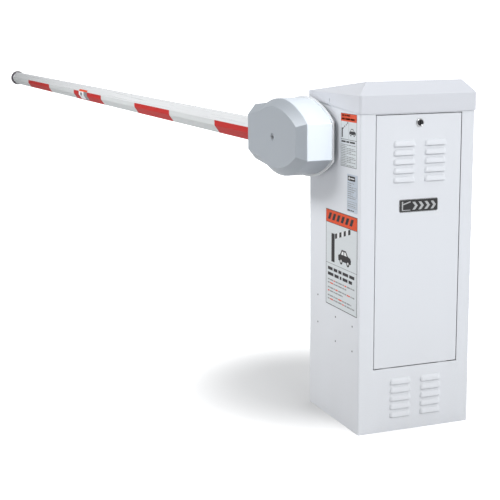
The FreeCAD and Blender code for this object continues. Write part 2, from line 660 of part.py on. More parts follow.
def lock_barrel():
    face = HALF_X + 3.5
    head = cyl_x(LOCK_Y, LOCK_Z, 12.8, HALF_X, face)
    head = head.makeFillet(1.5, [e for e in head.Edges if e.Closed and abs(e.CenterOfMass.x - face) < 0.01])
    barrel = cyl_x(LOCK_Y, LOCK_Z, LOCK_BARREL_R, HALF_X - 27, HALF_X)
    return fuse([head, barrel]).cut(cyl_x(LOCK_Y, LOCK_Z, LOCK_PLUG_R + RUNNING_FIT, HALF_X - 28, face + 1))


def lock_nut():
    return hexagon_x(LOCK_Y, LOCK_Z, 25, HALF_X - 9, HALF_X - DOOR_SHEET).cut(
        cyl_x(LOCK_Y, LOCK_Z, LOCK_BARREL_R, HALF_X - 30, HALF_X))


def lock_plug():
    plug = cyl_x(LOCK_Y, LOCK_Z, LOCK_PLUG_R, HALF_X - 31, HALF_X + 3.8)
    key_slot = box(HALF_X - 8, HALF_X + 5, LOCK_Y - 1.1, LOCK_Y + 1.1, LOCK_Z - 4.5, LOCK_Z + 4.5)
    return plug.cut(key_slot)


def lock_cam():
    """The tongue behind the lock. It lies along +Y unlocked, and stands up behind the frame locked."""
    x0 = HALF_X - 34.5
    tongue = plate_x(x0, x0 + 3.0, LOCK_Y - 9, LOCK_Y + 31, LOCK_Z - 9, LOCK_Z + 9, 4)
    screw = hexagon_x(LOCK_Y, LOCK_Z, 9, x0 - 4, x0)
    return fuse([tongue, screw])


def badge_plate():
    return plate_x(HALF_X, HALF_X + 1.6, *BADGE, 5.0)


# ---------------------------------------------------------------- arm and hub

def arc(a, b, c):
    return Part.Arc(a, b, c).toShape()


def cover_outline(y, right, right_half, crown_x, crown_half, neck_x, neck_half, left, left_half):
    """Outline of the hub cover at one depth: a flat right end, two bulging arcs, a straight neck."""
    z = PIVOT_Z
    p = [V(right, y, z - right_half), V(right, y, z + right_half), V(crown_x, y, z + crown_half),
         V(neck_x, y, z + neck_half), V(left, y, z + left_half), V(left, y, z - left_half),
         V(neck_x, y, z - neck_half), V(crown_x, y, z - crown_half)]
    return Part.Wire([Part.makeLine(p[0], p[1]), arc(p[1], p[2], p[3]), Part.makeLine(p[3], p[4]),
                      Part.makeLine(p[4], p[5]), Part.makeLine(p[5], p[6]), arc(p[6], p[7], p[0])])


def outer_outline(y, grow):
    return cover_outline(y, HUB_RIGHT + grow, 54.5 + 0.8 * grow, -144.0, 116.5 + grow, -294.0, 99.0 + grow,
                         HUB_LEFT - grow, 88.0 + grow)


def front_outline(y, grow, left):
    return cover_outline(y, HUB_RIGHT - 28 + grow, 44.0 + 0.8 * grow, -150.0, 92.5 + grow, -296.0, 72.0 + grow,
                         left, 56.0 + grow)


def cover_block(grow, front, back, left):
    shoulder = HUB_FRONT + HUB_CHAMFER
    body = Part.Face(outer_outline(shoulder, grow)).extrude(V(0, back - shoulder, 0))
    crown = Part.makeLoft([outer_outline(shoulder, grow), front_outline(front, grow, left)], True, True)
    return body.fuse(crown)


def arm_section(x, grow):
    """The arm's eight-sided outline at one place along it."""
    w, h = ARM_WIDTH / 2 + grow, ARM_HEIGHT / 2 + grow
    cy, cz = ARM_CHAMFER_Y + 0.6 * grow, ARM_CHAMFER_Z + 0.6 * grow
    corners = [(w, h - cz), (w - cy, h), (cy - w, h), (-w, h - cz),
               (-w, cz - h), (cy - w, -h), (w - cy, -h), (w, cz - h)]
    return [V(x, ARM_Y + y, PIVOT_Z + z) for y, z in corners]


def arm_prism(x0, x1, grow):
    return prism(arm_section(x0, grow), V(x1 - x0, 0, 0))


def hub_cover():
    back = HUB_BACK - HUB_BACKPLATE - 1.0
    outer = cover_block(0, HUB_FRONT, back, HUB_LEFT)
    inner = cover_block(-HUB_WALL, HUB_FRONT + HUB_WALL, back + 1, HUB_LEFT + HUB_WALL)
    shell = outer.cut(inner)
    seat = cyl_y(COVER_SCREW_X, PIVOT_Z, 14, HUB_FRONT + 1, HUB_FRONT + 8)
    shell = shell.fuse(seat)
    recess = cyl_y(COVER_SCREW_X, PIVOT_Z, 10, HUB_FRONT - 1, HUB_FRONT + COVER_SCREW_SEAT)
    hole = cyl_y(COVER_SCREW_X, PIVOT_Z, 3.5, HUB_FRONT - 1, HUB_FRONT + 9)
    arm_hole = arm_prism(HUB_LEFT - 5, HUB_LEFT + 10, 1.5)
    return cut(shell, [recess, hole, arm_hole]).removeSplitter()


def hub_backplate():
    y0 = HUB_BACK - HUB_BACKPLATE
    plate = Part.Face(outer_outline(y0, 6.0)).extrude(V(0, HUB_BACKPLATE, 0))
    posts = [cyl_y(x, PIVOT_Z + s * 40, 6, BRACKET_BACK, y0) for x in POST_X for s in (-1, 1)]
    return fuse([plate] + posts).cut(cyl_y(PIVOT_X, PIVOT_Z, SHAFT_R, y0 - 1, HUB_BACK + 1))


def cover_screw():
    y0 = HUB_FRONT + COVER_SCREW_SEAT
    head = cyl_y(COVER_SCREW_X, PIVOT_Z, 7.0, y0 - 3.4, y0)
    thread = cyl_y(COVER_SCREW_X, PIVOT_Z, 3.5, y0 - 0.5, ARM_OUTER)
    socket = hexagon_y(COVER_SCREW_X, PIVOT_Z, 6.0, y0 - 4, y0 - 1.2)
    return fuse([head, thread]).cut(socket)


def clamp_bolt_points():
    return [(x, PIVOT_Z + s * CLAMP_BOLT_Z) for x in CLAMP_BOLT_X for s in (-1, 1)]


def arm_bracket():
    """A channel that holds the arm, with the hub that the shaft is keyed into."""
    plate = plate_y(-385, PIVOT_X + 45, ARM_INNER, BRACKET_BACK, PIVOT_Z - 62, PIVOT_Z + 62, 6)
    hub = cyl_y(PIVOT_X, PIVOT_Z, 42, SHAFT_END_ARM, ARM_INNER)
    ledges = [box(-385, -140, ARM_OUTER + 6, ARM_INNER, z - 3, z + 3)
              for z in (PIVOT_Z - 40.5, PIVOT_Z + 40.5)]
    bolts = [cyl_y(x, z, CLAMP_BOLT_R, ARM_INNER - 1, BRACKET_BACK + 1) for x, z in clamp_bolt_points()]
    bore = cyl_y(PIVOT_X, PIVOT_Z, SHAFT_R, SHAFT_END_ARM - 1, BRACKET_BACK + 1)
    keyway = box(PIVOT_X - KEY_HALF, PIVOT_X + KEY_HALF, SHAFT_END_ARM - 1, BRACKET_BACK + 1,
                 PIVOT_Z, PIVOT_Z + SHAFT_R + 4)
    return cut(fuse([plate, hub] + ledges), bolts + [bore, keyway])


def clamp_plate():
    y0 = ARM_OUTER - CLAMP_THICK
    plate = plate_y(-372, -135, y0, ARM_OUTER, PIVOT_Z - 60, PIVOT_Z + 60, 6)
    holes = [cyl_y(x, z, CLAMP_BOLT_R, y0 - 1, ARM_OUTER + 1) for x, z in clamp_bolt_points()]
    return cut(plate, holes + [cyl_y(COVER_SCREW_X, PIVOT_Z, 3.5, y0 - 1, ARM_OUTER + 1)])


def clamp_bolts():
    """Four bolts through the clamp plate and the bracket, each with its nut."""
    y0 = ARM_OUTER - CLAMP_THICK
    bolts = []
    for x, z in clamp_bolt_points():
        thread = cyl_y(x, z, CLAMP_BOLT_R, y0, BRACKET_BACK + 8)
        head = hexagon_y(x, z, 13, y0 - 5, y0)
        nut = hexagon_y(x, z, 13, BRACKET_BACK, BRACKET_BACK + 7)
        bolts.append(fuse([thread, head, nut]))
    return group(bolts)


def main_shaft():
    shaft = cyl_y(PIVOT_X, PIVOT_Z, SHAFT_R, SHAFT_END_ARM, SHAFT_END_FAR)
    return shaft.cut(box(PIVOT_X - KEY_HALF, PIVOT_X + KEY_HALF, SHAFT_END_ARM - 1, BRACKET_BACK + 1,
                         PIVOT_Z + SHAFT_R - 5, PIVOT_Z + 30))


def shaft_key():
    return box(PIVOT_X - KEY_HALF, PIVOT_X + KEY_HALF, SHAFT_END_ARM + 2, BRACKET_BACK,
               PIVOT_Z + SHAFT_R - 5, PIVOT_Z + SHAFT_R + 4)


def arm_tube():
    return arm_prism(ARM_TIP + 10, ARM_START, 0).cut(arm_prism(ARM_TIP + 9, ARM_START + 1, -ARM_WALL))


def tape_band(x0, x1):
    """Tape over the arm's front facet and the facet below it."""
    y0 = ARM_OUTER - 2
    skin = arm_prism(x0, x1, TAPE).cut(arm_prism(x0 - 1, x1 + 1, 0))
    top = PIVOT_Z + ARM_HEIGHT / 2 - ARM_CHAMFER_Z - 0.5
    low = PIVOT_Z - ARM_HEIGHT / 2 - 2
    return skin.common(box(x0 - 2, x1 + 2, y0, y0 + ARM_CHAMFER_Y + 1, low, top))


def red_tape():
    return group([tape_band(a, b) for a, b in RED_STRIPES])


def white_tape():
    starts = [ARM_TIP + 30] + [b for _, b in RED_STRIPES[:-1]]
    return group([tape_band(a, stripe[0]) for a, stripe in zip(starts, RED_STRIPES)])


def arm_end_cap():
    cap = cyl_x(ARM_Y, PIVOT_Z, CAP_R, ARM_TIP, ARM_TIP + 14)
    cap = cap.makeFillet(3.0, [e for e in cap.Edges if e.Closed])
    plug = arm_prism(ARM_TIP + 5, ARM_TIP + 40, -ARM_WALL)
    return fuse([cap.cut(arm_prism(ARM_TIP + 10, ARM_TIP + 20, 0)), plug])


def arm_label():
    """A label wrapped over the front facet, on top of the tape."""
    x0, x1 = ARM_LABEL_SPAN
    y0 = ARM_OUTER - 2
    skin = arm_prism(x0, x1, TAPE + 0.5).cut(arm_prism(x0 - 1, x1 + 1, TAPE))
    return skin.common(box(x0 - 2, x1 + 2, y0, y0 + 15, PIVOT_Z - 32, PIVOT_Z + 18))


# ---------------------------------------------------------------- linkage

def crank(z, hub_r, pin_r):
    """A crank with its pin, drawn along +X and turned to its rest angle."""
    y0, y1 = CRANK_Y, CRANK_Y + CRANK_THICK
    pin_x, pin_end = PIVOT_X + CRANK_R, ROD_EYE_Y + ROD_EYE_THICK
    web = prism([V(PIVOT_X, y0, z - hub_r * 0.8), V(pin_x, y0, z - 15), V(pin_x, y0, z + 15),
                 V(PIVOT_X, y0, z + hub_r * 0.8)], V(0, CRANK_THICK, 0))
    body = fuse([cyl_y(PIVOT_X, z, hub_r, y0 - 16, y1), web, cyl_y(pin_x, z, 17, y0, y1),
                 cyl_y(pin_x, z, pin_r, y1, pin_end + 1), cyl_y(pin_x, z, 13, pin_end + 0.5, pin_end + 4)])
    body.rotate(V(PIVOT_X, 0, z), V(0, 1, 0), -CRANK_ANGLE)
    return body


def shaft_lever():
    return crank(PIVOT_Z, 34, CRANK_PIN_R).cut(cyl_y(PIVOT_X, PIVOT_Z, SHAFT_R, 0, 100))


def reducer_crank():
    return crank(REDUCER_Z, 28, CRANK_PIN_R).cut(cyl_y(PIVOT_X, REDUCER_Z, OUTPUT_SHAFT_R, 0, 100))


def output_shaft():
    return cyl_y(PIVOT_X, REDUCER_Z, OUTPUT_SHAFT_R, REDUCER_Y - 9, CRANK_Y + CRANK_THICK + 4)


def pin_offset():
    """From a crank's centre to its pin at rest, along X and Z."""
    return CRANK_R * math.cos(math.radians(CRANK_ANGLE)), CRANK_R * math.sin(math.radians(CRANK_ANGLE))


def rod_ends():
    """Eyes for the two crank pins. The upper one has the opened pivot's wider bore."""
    dx, dz = pin_offset()
    x, y0, y1 = PIVOT_X + dx, ROD_EYE_Y, ROD_EYE_Y + ROD_EYE_THICK
    eyes = []
    for z, toward, bore in ((REDUCER_Z + dz, 1, CRANK_PIN_R + RUNNING_FIT),
                            (PIVOT_Z + dz, -1, CRANK_PIN_R + OPEN_PIVOT_CLEARANCE)):
        low, high = sorted((z + toward * 14, z + toward * 60))
        stem = cyl_z(x, (y0 + y1) / 2, 9.0, low, high)
        eye = fuse([cyl_y(x, z, 18, y0 + 0.3, y1 + 0.2), stem]).cut(cyl_y(x, z, bore, y0 - 1, y1 + 1))
        eyes.append(eye)
    return group(eyes)


def connecting_rod():
    dx, dz = pin_offset()
    y = ROD_EYE_Y + ROD_EYE_THICK / 2
    return cyl_z(PIVOT_X + dx, y, ROD_R, REDUCER_Z + dz + 60, PIVOT_Z + dz - 60)


def rod_nuts():
    dx, dz = pin_offset()
    x, y = PIVOT_X + dx, ROD_EYE_Y + ROD_EYE_THICK / 2
    return group([hexagon_z(x, y, 22, z, z + 8).cut(cyl_z(x, y, ROD_R, z - 1, z + 9))
                  for z in (REDUCER_Z + dz + 60, PIVOT_Z + dz - 68)])


# ---------------------------------------------------------------- build

def build():
    tube = cabinet_tube()
    panel = side_panel(tube)
    near_panel = panel.cut(cyl_y(PIVOT_X, PIVOT_Z, SHAFT_R + 6, -HALF_Y - 1, -INNER_Y + 1))
    return {
        "base_frame": base_frame(),
        "arm_side_panel": near_panel,
        "far_side_panel": mirror_y(panel),
        "front_panel": front_panel(tube),
        "back_panel": back_panel(tube),
        "door_frame": door_frame(),
        "lid_hood": lid_hood(),
        "lid_screws": lid_screws(),
        "drive_shelf": drive_shelf(),
        "shelf_rivets": shelf_rivets(),
        "bearing_plates": bearing_plates(),
        "shaft_bearings": shaft_bearings(),
        "bearing_bolts": bearing_bolts(),
        "reducer_table": reducer_table(),
        "gear_reducer": gear_reducer(),
        "drive_motor": drive_motor(),
        "drive_bolts": drive_bolts(),
        "drive_belt": drive_belt(),
        "control_box": control_box(),
        "control_cover": control_cover(),
        "control_board": control_board(),
        "switch_body": switch_body(),
        "sensor_bracket": sensor_bracket(),
        "limit_sensors": limit_sensors(),
        "stop_brackets": stop_brackets(),
        "stop_bumpers": stop_bumpers(),
        "gate_sign": sign(*GATE_SIGN, 8.0),
        "notice_sign": sign(*NOTICE_SIGN, 8.0),
        "rating_plate": sign(*RATING_PLATE, 2.0),
        "service_door": service_door(),
        "lock_barrel": lock_barrel(),
        "lock_nut": lock_nut(),
        "badge_plate": badge_plate(),
        "lock_plug": lock_plug(),
        "lock_cam": lock_cam(),
        "switch_rocker": switch_rocker(),
        "main_shaft": main_shaft(),
        "shaft_key": shaft_key(),
        "arm_bracket": arm_bracket(),
        "clamp_plate": clamp_plate(),
        "clamp_bolts": clamp_bolts(),
        "hub_backplate": hub_backplate(),
        "hub_cover": hub_cover(),
        "cover_screw": cover_screw(),
        "arm_tube": arm_tube(),
        "red_tape": red_tape(),
        "white_tape": white_tape(),
        "arm_end_cap": arm_end_cap(),
        "arm_label": arm_label(),
        "shaft_lever": shaft_lever(),
        "limit_cams": limit_cams(),
        "stop_arm": stop_arm(),
        "output_shaft": output_shaft(),
        "reducer_crank": reducer_crank(),
        "rod_ends": rod_ends(),
        "connecting_rod": connecting_rod(),
        "rod_nuts": rod_nuts(),
        "input_shaft": cyl_x(REDUCER_Y, INPUT_Z, INPUT_SHAFT_R, -29, BELT_X + 12),
        "reducer_pulley": pulley(INPUT_Z, REDUCER_PULLEY_R, INPUT_SHAFT_R),
        "motor_rotor": fuse([cyl_x(REDUCER_Y, MOTOR_Z, MOTOR_SHAFT_R, -59, BELT_X + 12),
                             pulley(MOTOR_Z, MOTOR_PULLEY_R, MOTOR_SHAFT_R)]),
    }


os.makedirs("parts", exist_ok=True)
for name, shape in build().items():
    solids = shape.Solids
    sound = all(s.isValid() and s.isClosed() for s in solids)
    state = "ok" if sound else "NOT SOUND"
    print(f"{name:16s} solids {len(solids):2d}  volume {shape.Volume / 1000:9.1f} cm3  {state}")
    whole = Part.Compound(solids) if len(solids) > 1 else solids[0]
    whole.exportStep(f"parts/{name}.step")
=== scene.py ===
# %% [markdown]
# # A parking barrier gate in Blender
#
# The object is an electric parking barrier: a white sheet-metal cabinet with a wedge-shaped lid and
# a lift-off service door, and a long striped arm that leaves a grey hub cover at the cabinet's side.
# The mechanics come packed from CAD as a fixed frame. This lesson gives every
# surface its finish, and rebuilds the pieces whose look matters most with softer, truer shapes.

# %% Load the imported model
import math

import bmesh
import bpy
from mathutils import Matrix, Vector


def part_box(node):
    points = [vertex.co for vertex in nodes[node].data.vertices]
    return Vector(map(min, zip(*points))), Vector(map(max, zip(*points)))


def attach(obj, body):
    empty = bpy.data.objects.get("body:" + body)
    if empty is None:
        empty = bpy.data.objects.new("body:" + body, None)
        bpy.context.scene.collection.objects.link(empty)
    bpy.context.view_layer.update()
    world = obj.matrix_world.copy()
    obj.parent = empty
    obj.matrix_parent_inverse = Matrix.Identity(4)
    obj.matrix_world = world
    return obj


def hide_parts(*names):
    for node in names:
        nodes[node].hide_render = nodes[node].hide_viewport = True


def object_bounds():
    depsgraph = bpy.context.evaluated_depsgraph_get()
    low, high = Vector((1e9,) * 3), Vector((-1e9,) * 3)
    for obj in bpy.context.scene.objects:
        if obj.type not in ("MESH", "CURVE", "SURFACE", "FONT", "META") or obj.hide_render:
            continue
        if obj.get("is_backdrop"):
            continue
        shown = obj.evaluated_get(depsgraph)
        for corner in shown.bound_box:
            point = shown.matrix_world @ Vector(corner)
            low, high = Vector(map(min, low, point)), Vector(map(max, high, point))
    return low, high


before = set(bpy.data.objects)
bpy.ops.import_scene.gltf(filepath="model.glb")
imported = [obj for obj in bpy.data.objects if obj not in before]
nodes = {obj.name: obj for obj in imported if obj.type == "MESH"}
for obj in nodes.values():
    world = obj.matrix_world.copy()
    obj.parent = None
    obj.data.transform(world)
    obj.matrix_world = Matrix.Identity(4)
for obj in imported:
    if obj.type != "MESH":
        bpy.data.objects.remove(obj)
cad_low, cad_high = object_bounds()
MM = 0.001
print(f"{len(nodes)} CAD nodes; the object is", [round(v, 3) for v in cad_high - cad_low], "m")

# %% [markdown]
# ## Camera
#
# A product picture of a cabinet is taken from eye height with a long lens, so that upright edges
# stay nearly parallel. The camera could be aimed with a Track To constraint, but a constraint
# hides the numbers. Here its three axes are worked out from azimuth, elevation and a small roll.

# %% Place the camera
AZIMUTH, ELEVATION, ROLL = (math.radians(a) for a in (69.34, 10.90, -0.543))
behind = Vector((math.sin(AZIMUTH) * math.cos(ELEVATION), -math.cos(AZIMUTH) * math.cos(ELEVATION),
                 math.sin(ELEVATION)))
level_right = (-behind).cross(Vector((0, 0, 1))).normalized()
level_up = behind.cross(level_right)
camera_right = level_right * math.cos(ROLL) + level_up * math.sin(ROLL)
camera_up = level_up * math.cos(ROLL) - level_right * math.sin(ROLL)

camera_data = bpy.data.cameras.new("Camera")
camera_data.lens, camera_data.sensor_width = 83.3, 36.0
camera_data.clip_end = 200
camera = bpy.data.objects.new("Camera", camera_data)
bpy.context.scene.collection.objects.link(camera)
camera.matrix_world = Matrix.Translation((3.1143, -1.6276, 1.19)) @ Matrix(
    (camera_right, camera_up, behind)).transposed().to_4x4()
bpy.context.scene.camera = camera
print("the camera looks along", [round(v, 3) for v in -behind])

# %% [markdown]
# ## Tools for node graphs
#
# The studio's fill and every finish are small node graphs. Building each by hand in the editor is
# fine for one material but not for thirty, so these helpers add a node and wire it in one line.
# Effects that several finishes share are node groups, built once with named sockets.

# %% Node helpers
def fill_inputs(tree, node, feed):
    """A socket in the feed is linked to the node's input; anything else becomes its value."""
    for key, value in (feed or {}).items():
        if isinstance(value, bpy.types.NodeSocket):
            tree.links.new(value, node.inputs[key])
        else:
            node.inputs[key].default_value = value


def add(tree, kind, feed=None, **traits):
    """Adds a shader node with its traits and inputs."""
    node = tree.nodes.new("ShaderNode" + kind)
    for key, value in traits.items():
        setattr(node, key, value)
    fill_inputs(tree, node, feed)
    return node


def maths(tree, operation, first, second=0.0, clamp=False):
    return add(tree, "Math", {0: first, 1: second}, operation=operation, use_clamp=clamp).outputs[0]


def mix_colours(tree, amount, first, second):
    return add(tree, "Mix", {0: amount, 6: first, 7: second}, data_type="RGBA").outputs[2]


def new_group(name, inputs, outputs):
    """A shader node group. Inputs are (label, kind, start value), and outputs (label, kind)."""
    group = bpy.data.node_groups.new(name, "ShaderNodeTree")
    for label, kind, start in inputs:
        socket = group.interface.new_socket(label, in_out="INPUT", socket_type="NodeSocket" + kind)
        socket.default_value = start
    for label, kind in outputs:
        group.interface.new_socket(label, in_out="OUTPUT", socket_type="NodeSocket" + kind)
    return group, group.nodes.new("NodeGroupInput").outputs, group.nodes.new("NodeGroupOutput").inputs


def use(tree, group, feed=None):
    """Places a node group in a material with its own values."""
    return add(tree, "Group", feed, node_tree=group).outputs


def surface_spot(tree, stretch=(1, 1, 1)):
    """Object coordinates, stretched along each axis."""
    coords = add(tree, "TexCoord").outputs["Object"]
    return add(tree, "Mapping", {"Vector": coords, "Scale": stretch}).outputs[0]


print("node helpers ready")

# %% [markdown]
# ## Light
#
# White paint shows its form only through small steps of grey, so the light has to fall off from face
# to face. A sun lamp would give hard shadows. Large area lamps behave like studio softboxes: the
# main one stands high in front of the door, a long one hangs over the arm, and a weak one fills the
# arm's side. The fourth is small and is for the hub cover alone, as a later cell explains.

# %% Softboxes
def softbox(name, stand, aim, size, power, tint=(1.0, 1.0, 1.0)):
    """A rectangular area lamp at a stand, aimed at a point. Its power is in watts."""
    lamp = bpy.data.lights.new(name, "AREA")
    lamp.shape = "RECTANGLE"
    lamp.size, lamp.size_y = size
    lamp.energy, lamp.color = power, tint
    holder = bpy.data.objects.new(name, lamp)
    holder.location = stand
    holder.rotation_euler = (Vector(aim) - Vector(stand)).to_track_quat("-Z", "Y").to_euler()
    bpy.context.scene.collection.objects.link(holder)
    return holder


softbox("door_softbox", (5.0, 0.6, 2.9), (0.05, -0.1, 0.5), (2.0, 1.2), 103)
softbox("arm_top_softbox", (-1.9, -3.0, 3.4), (-1.9, -0.25, 0.8), (5.0, 1.2), 140)
softbox("arm_side_softbox", (-2.4, -3.2, 1.4), (0.0, -0.2, 0.6), (3.2, 2.4), 13, (0.97, 0.99, 1.0))
cover_lamp = softbox("cover_softbox", (1.55, 1.2, 1.97), (-0.1, -0.25, 0.86), (0.8, 0.8), 128)
print("four softboxes")

# %% [markdown]
# ## World fill
#
# Light also comes back from a studio's pale walls, more on one side than on the other. A single
# grey would flatten the folds. So the fill grows with the direction it comes from, and the
# faces that look away from the main lamp still differ from each other. Seen directly, the
# backdrop is plain white: a Light Path node picks it only for what the camera sees.

# %% World fill
DIM, BRIGHT = 0.14, 1.05
world = bpy.data.worlds.new("Studio")
bpy.context.scene.world = world
world.use_nodes = True
sky = world.node_tree
sky.nodes.clear()
direction = add(sky, "TexCoord").outputs["Generated"]
lean = add(sky, "VectorMath", {0: direction, 1: (0.20, 1.00, 0.15)}, operation="DOT_PRODUCT").outputs["Value"]
strength = add(sky, "MapRange", {"Value": lean, "From Min": -0.35, "From Max": 0.45, "To Min": DIM,
                                 "To Max": BRIGHT}).outputs["Result"]
fill = add(sky, "Background", {"Color": (0.96, 0.98, 1.0, 1), "Strength": strength})
backdrop = add(sky, "Background", {"Color": (1.0, 1.0, 1.0, 1), "Strength": 1.2})
seen = add(sky, "LightPath").outputs["Is Camera Ray"]
choice = add(sky, "MixShader", {"Fac": seen, 1: fill.outputs[0], 2: backdrop.outputs[0]})
add(sky, "OutputWorld", {"Surface": choice.outputs[0]})
bpy.context.scene.view_settings.view_transform = "Standard"
print(f"world fill from {DIM} to {BRIGHT}, brightest on the far side")

# %% [markdown]
# ## Paint effects
#
# Powder coat is sprayed as dry powder and baked, and it dries with a fine ripple called orange
# peel. It also lies thinner on edges, where knocks chip it first. Both could be painted by hand
# as textures. As node groups they need no unwrapping, and they give masks, colours and heights
# that each material uses with its own values.

# %% Orange peel and edge wear
peel, given, wanted = new_group(
    "Orange peel", [("Color", "Color", (0.8, 0.8, 0.8, 1)), ("Shade", "Color", (0.7, 0.7, 0.7, 1)),
                    ("Ripple Scale", "Float", 420.0), ("Cloud Scale", "Float", 5.0),
                    ("Cloud Amount", "Float", 0.3), ("Roughness", "Float", 0.4)],
    [("Color", "Color"), ("Roughness", "Float"), ("Height", "Float")])
spot = surface_spot(peel)
ripple = add(peel, "TexNoise",
             {"Vector": spot, "Scale": given["Ripple Scale"], "Detail": 1.5, "Roughness": 0.4})
cloud = add(peel, "TexNoise", {"Vector": spot, "Scale": given["Cloud Scale"], "Detail": 3.0})
amount = maths(peel, "MULTIPLY", cloud.outputs["Fac"], given["Cloud Amount"])
peel.links.new(mix_colours(peel, amount, given["Color"], given["Shade"]), wanted["Color"])
peel.links.new(ripple.outputs["Fac"], wanted["Height"])
spread = maths(peel, "MULTIPLY", maths(peel, "SUBTRACT", cloud.outputs["Fac"], 0.5), 0.16)
peel.links.new(maths(peel, "ADD", given["Roughness"], spread, True), wanted["Roughness"])

wear, given, wanted = new_group(
    "Edge wear", [("Color", "Color", (0.8, 0.8, 0.8, 1)), ("Bare", "Color", (0.5, 0.5, 0.5, 1)),
                  ("Width", "Float", 0.0015), ("Amount", "Float", 0.5)],
    [("Color", "Color"), ("Mask", "Float")])
rounded = add(wear, "Bevel", {"Radius": given["Width"]}, samples=4)
flat = add(wear, "NewGeometry")
facing = add(wear, "VectorMath", {0: rounded.outputs[0], 1: flat.outputs["Normal"]},
             operation="DOT_PRODUCT")
edge = add(wear, "MapRange", {"Value": facing.outputs["Value"], "From Min": 0.995, "From Max": 0.90})
chips = add(wear, "TexNoise", {"Vector": surface_spot(wear), "Scale": 160.0, "Detail": 4.0})
broken = add(wear, "MapRange", {"Value": chips.outputs["Fac"], "From Min": 0.42, "From Max": 0.62})
chipped = maths(wear, "MULTIPLY", edge.outputs[0], broken.outputs[0])
mask = maths(wear, "MULTIPLY", chipped, given["Amount"], True)
wear.links.new(mask, wanted["Mask"])
wear.links.new(mix_colours(wear, mask, given["Color"], given["Bare"]), wanted["Color"])
print("groups:", peel.name, "and", wear.name)

# %% [markdown]
# ## Painted ground shade
#
# The paint is darkened towards the ground, up to about knee height. This is painted shade: it stands in
# for the shade that falls low on the cabinet. A plain gradient would look sprayed on. Two noises break it
# up: a tall soft one for the streaks, and a fine one for the small spots.

# %% Painted ground shade
# Painted shade: the colour is darkened towards the ground and broken up by two noises.
ground_shade, given, wanted = new_group(
    "Painted ground shade", [("Color", "Color", (0.8, 0.8, 0.8, 1)), ("Shade Color", "Color", (0.45, 0.43, 0.39, 1)),
                  ("Reach", "Float", 0.55), ("Amount", "Float", 0.3)],
    [("Color", "Color"), ("Mask", "Float")])
spot = surface_spot(ground_shade)
height = add(ground_shade, "SeparateXYZ", {0: spot}).outputs["Z"]
low = add(ground_shade, "MapRange", {"Value": height, "From Min": given["Reach"], "From Max": 0.0},
          interpolation_type="SMOOTHSTEP")
streaks = add(ground_shade, "Mapping", {"Vector": spot, "Scale": (9, 9, 2.5)}).outputs[0]
drift = add(ground_shade, "TexNoise", {"Vector": streaks, "Scale": 1.0, "Detail": 5.0})
fine_breakup = add(ground_shade, "TexNoise", {"Vector": spot, "Scale": 260.0, "Detail": 2.0})
shade_breakup = maths(ground_shade, "ADD", maths(ground_shade, "MULTIPLY", drift.outputs["Fac"], 0.7),
             maths(ground_shade, "MULTIPLY", fine_breakup.outputs["Fac"], 0.6))
mask = maths(ground_shade, "MULTIPLY", maths(ground_shade, "MULTIPLY", low.outputs[0], shade_breakup), given["Amount"], True)
ground_shade.links.new(mask, wanted["Mask"])
ground_shade.links.new(mix_colours(ground_shade, mask, given["Color"], given["Shade Color"]), wanted["Color"])
print("group:", ground_shade.name)

# %% [markdown]
# ## Metal and plastic skins
#
# Turned and drawn metal has lines along its working direction, so its noise is stretched that way.
# Castings and moulded plastic copy the fine sand or the etched steel of their mould, which round
# Voronoi cells imitate better than noise does.

# %% Drawn grain and cast skin
grain, given, wanted = new_group(
    "Drawn grain", [("Color", "Color", (0.6, 0.6, 0.6, 1)), ("Dark", "Color", (0.4, 0.4, 0.4, 1)),
                    ("Stretch", "Vector", (4.0, 400.0, 400.0)), ("Roughness", "Float", 0.35)],
    [("Color", "Color"), ("Roughness", "Float"), ("Height", "Float")])
coords = add(grain, "TexCoord").outputs["Object"]
pulled = add(grain, "VectorMath", {0: coords, 1: given["Stretch"]}, operation="MULTIPLY").outputs[0]
lines = add(grain, "TexNoise", {"Vector": pulled, "Scale": 1.0, "Detail": 3.0}).outputs["Fac"]
blotch = add(grain, "TexNoise", {"Vector": coords, "Scale": 30.0, "Detail": 2.0}).outputs["Fac"]
tone = maths(grain, "ADD", maths(grain, "MULTIPLY", lines, 0.6), maths(grain, "MULTIPLY", blotch, 0.3))
grain.links.new(mix_colours(grain, tone, given["Color"], given["Dark"]), wanted["Color"])
spread = maths(grain, "MULTIPLY", maths(grain, "SUBTRACT", lines, 0.5), 0.25)
grain.links.new(maths(grain, "ADD", given["Roughness"], spread, True), wanted["Roughness"])
grain.links.new(lines, wanted["Height"])

skin, given, wanted = new_group(
    "Cast skin", [("Color", "Color", (0.3, 0.3, 0.3, 1)), ("Dark", "Color", (0.2, 0.2, 0.2, 1)),
                  ("Scale", "Float", 500.0), ("Roughness", "Float", 0.55)],
    [("Color", "Color"), ("Roughness", "Float"), ("Height", "Float")])
spot = surface_spot(skin)
sand = add(skin, "TexVoronoi", {"Vector": spot, "Scale": given["Scale"]},
           feature="SMOOTH_F1").outputs["Distance"]
patch = add(skin, "TexNoise", {"Vector": spot, "Scale": 18.0, "Detail": 4.0}).outputs["Fac"]
skin.links.new(mix_colours(skin, patch, given["Color"], given["Dark"]), wanted["Color"])
spread = maths(skin, "MULTIPLY", maths(skin, "SUBTRACT", patch, 0.5), 0.3)
skin.links.new(maths(skin, "ADD", given["Roughness"], spread, True), wanted["Roughness"])
skin.links.new(sand, wanted["Height"])
print("groups:", grain.name, "and", skin.name)

# %% [markdown]
# ## Reflective film
#
# Reflective tape is a honeycomb of tiny sealed cells under clear film. Its seams are paler than
# the cells, and the sun fades it unevenly along its length. The same film, with finer cells, makes
# the printed signs.

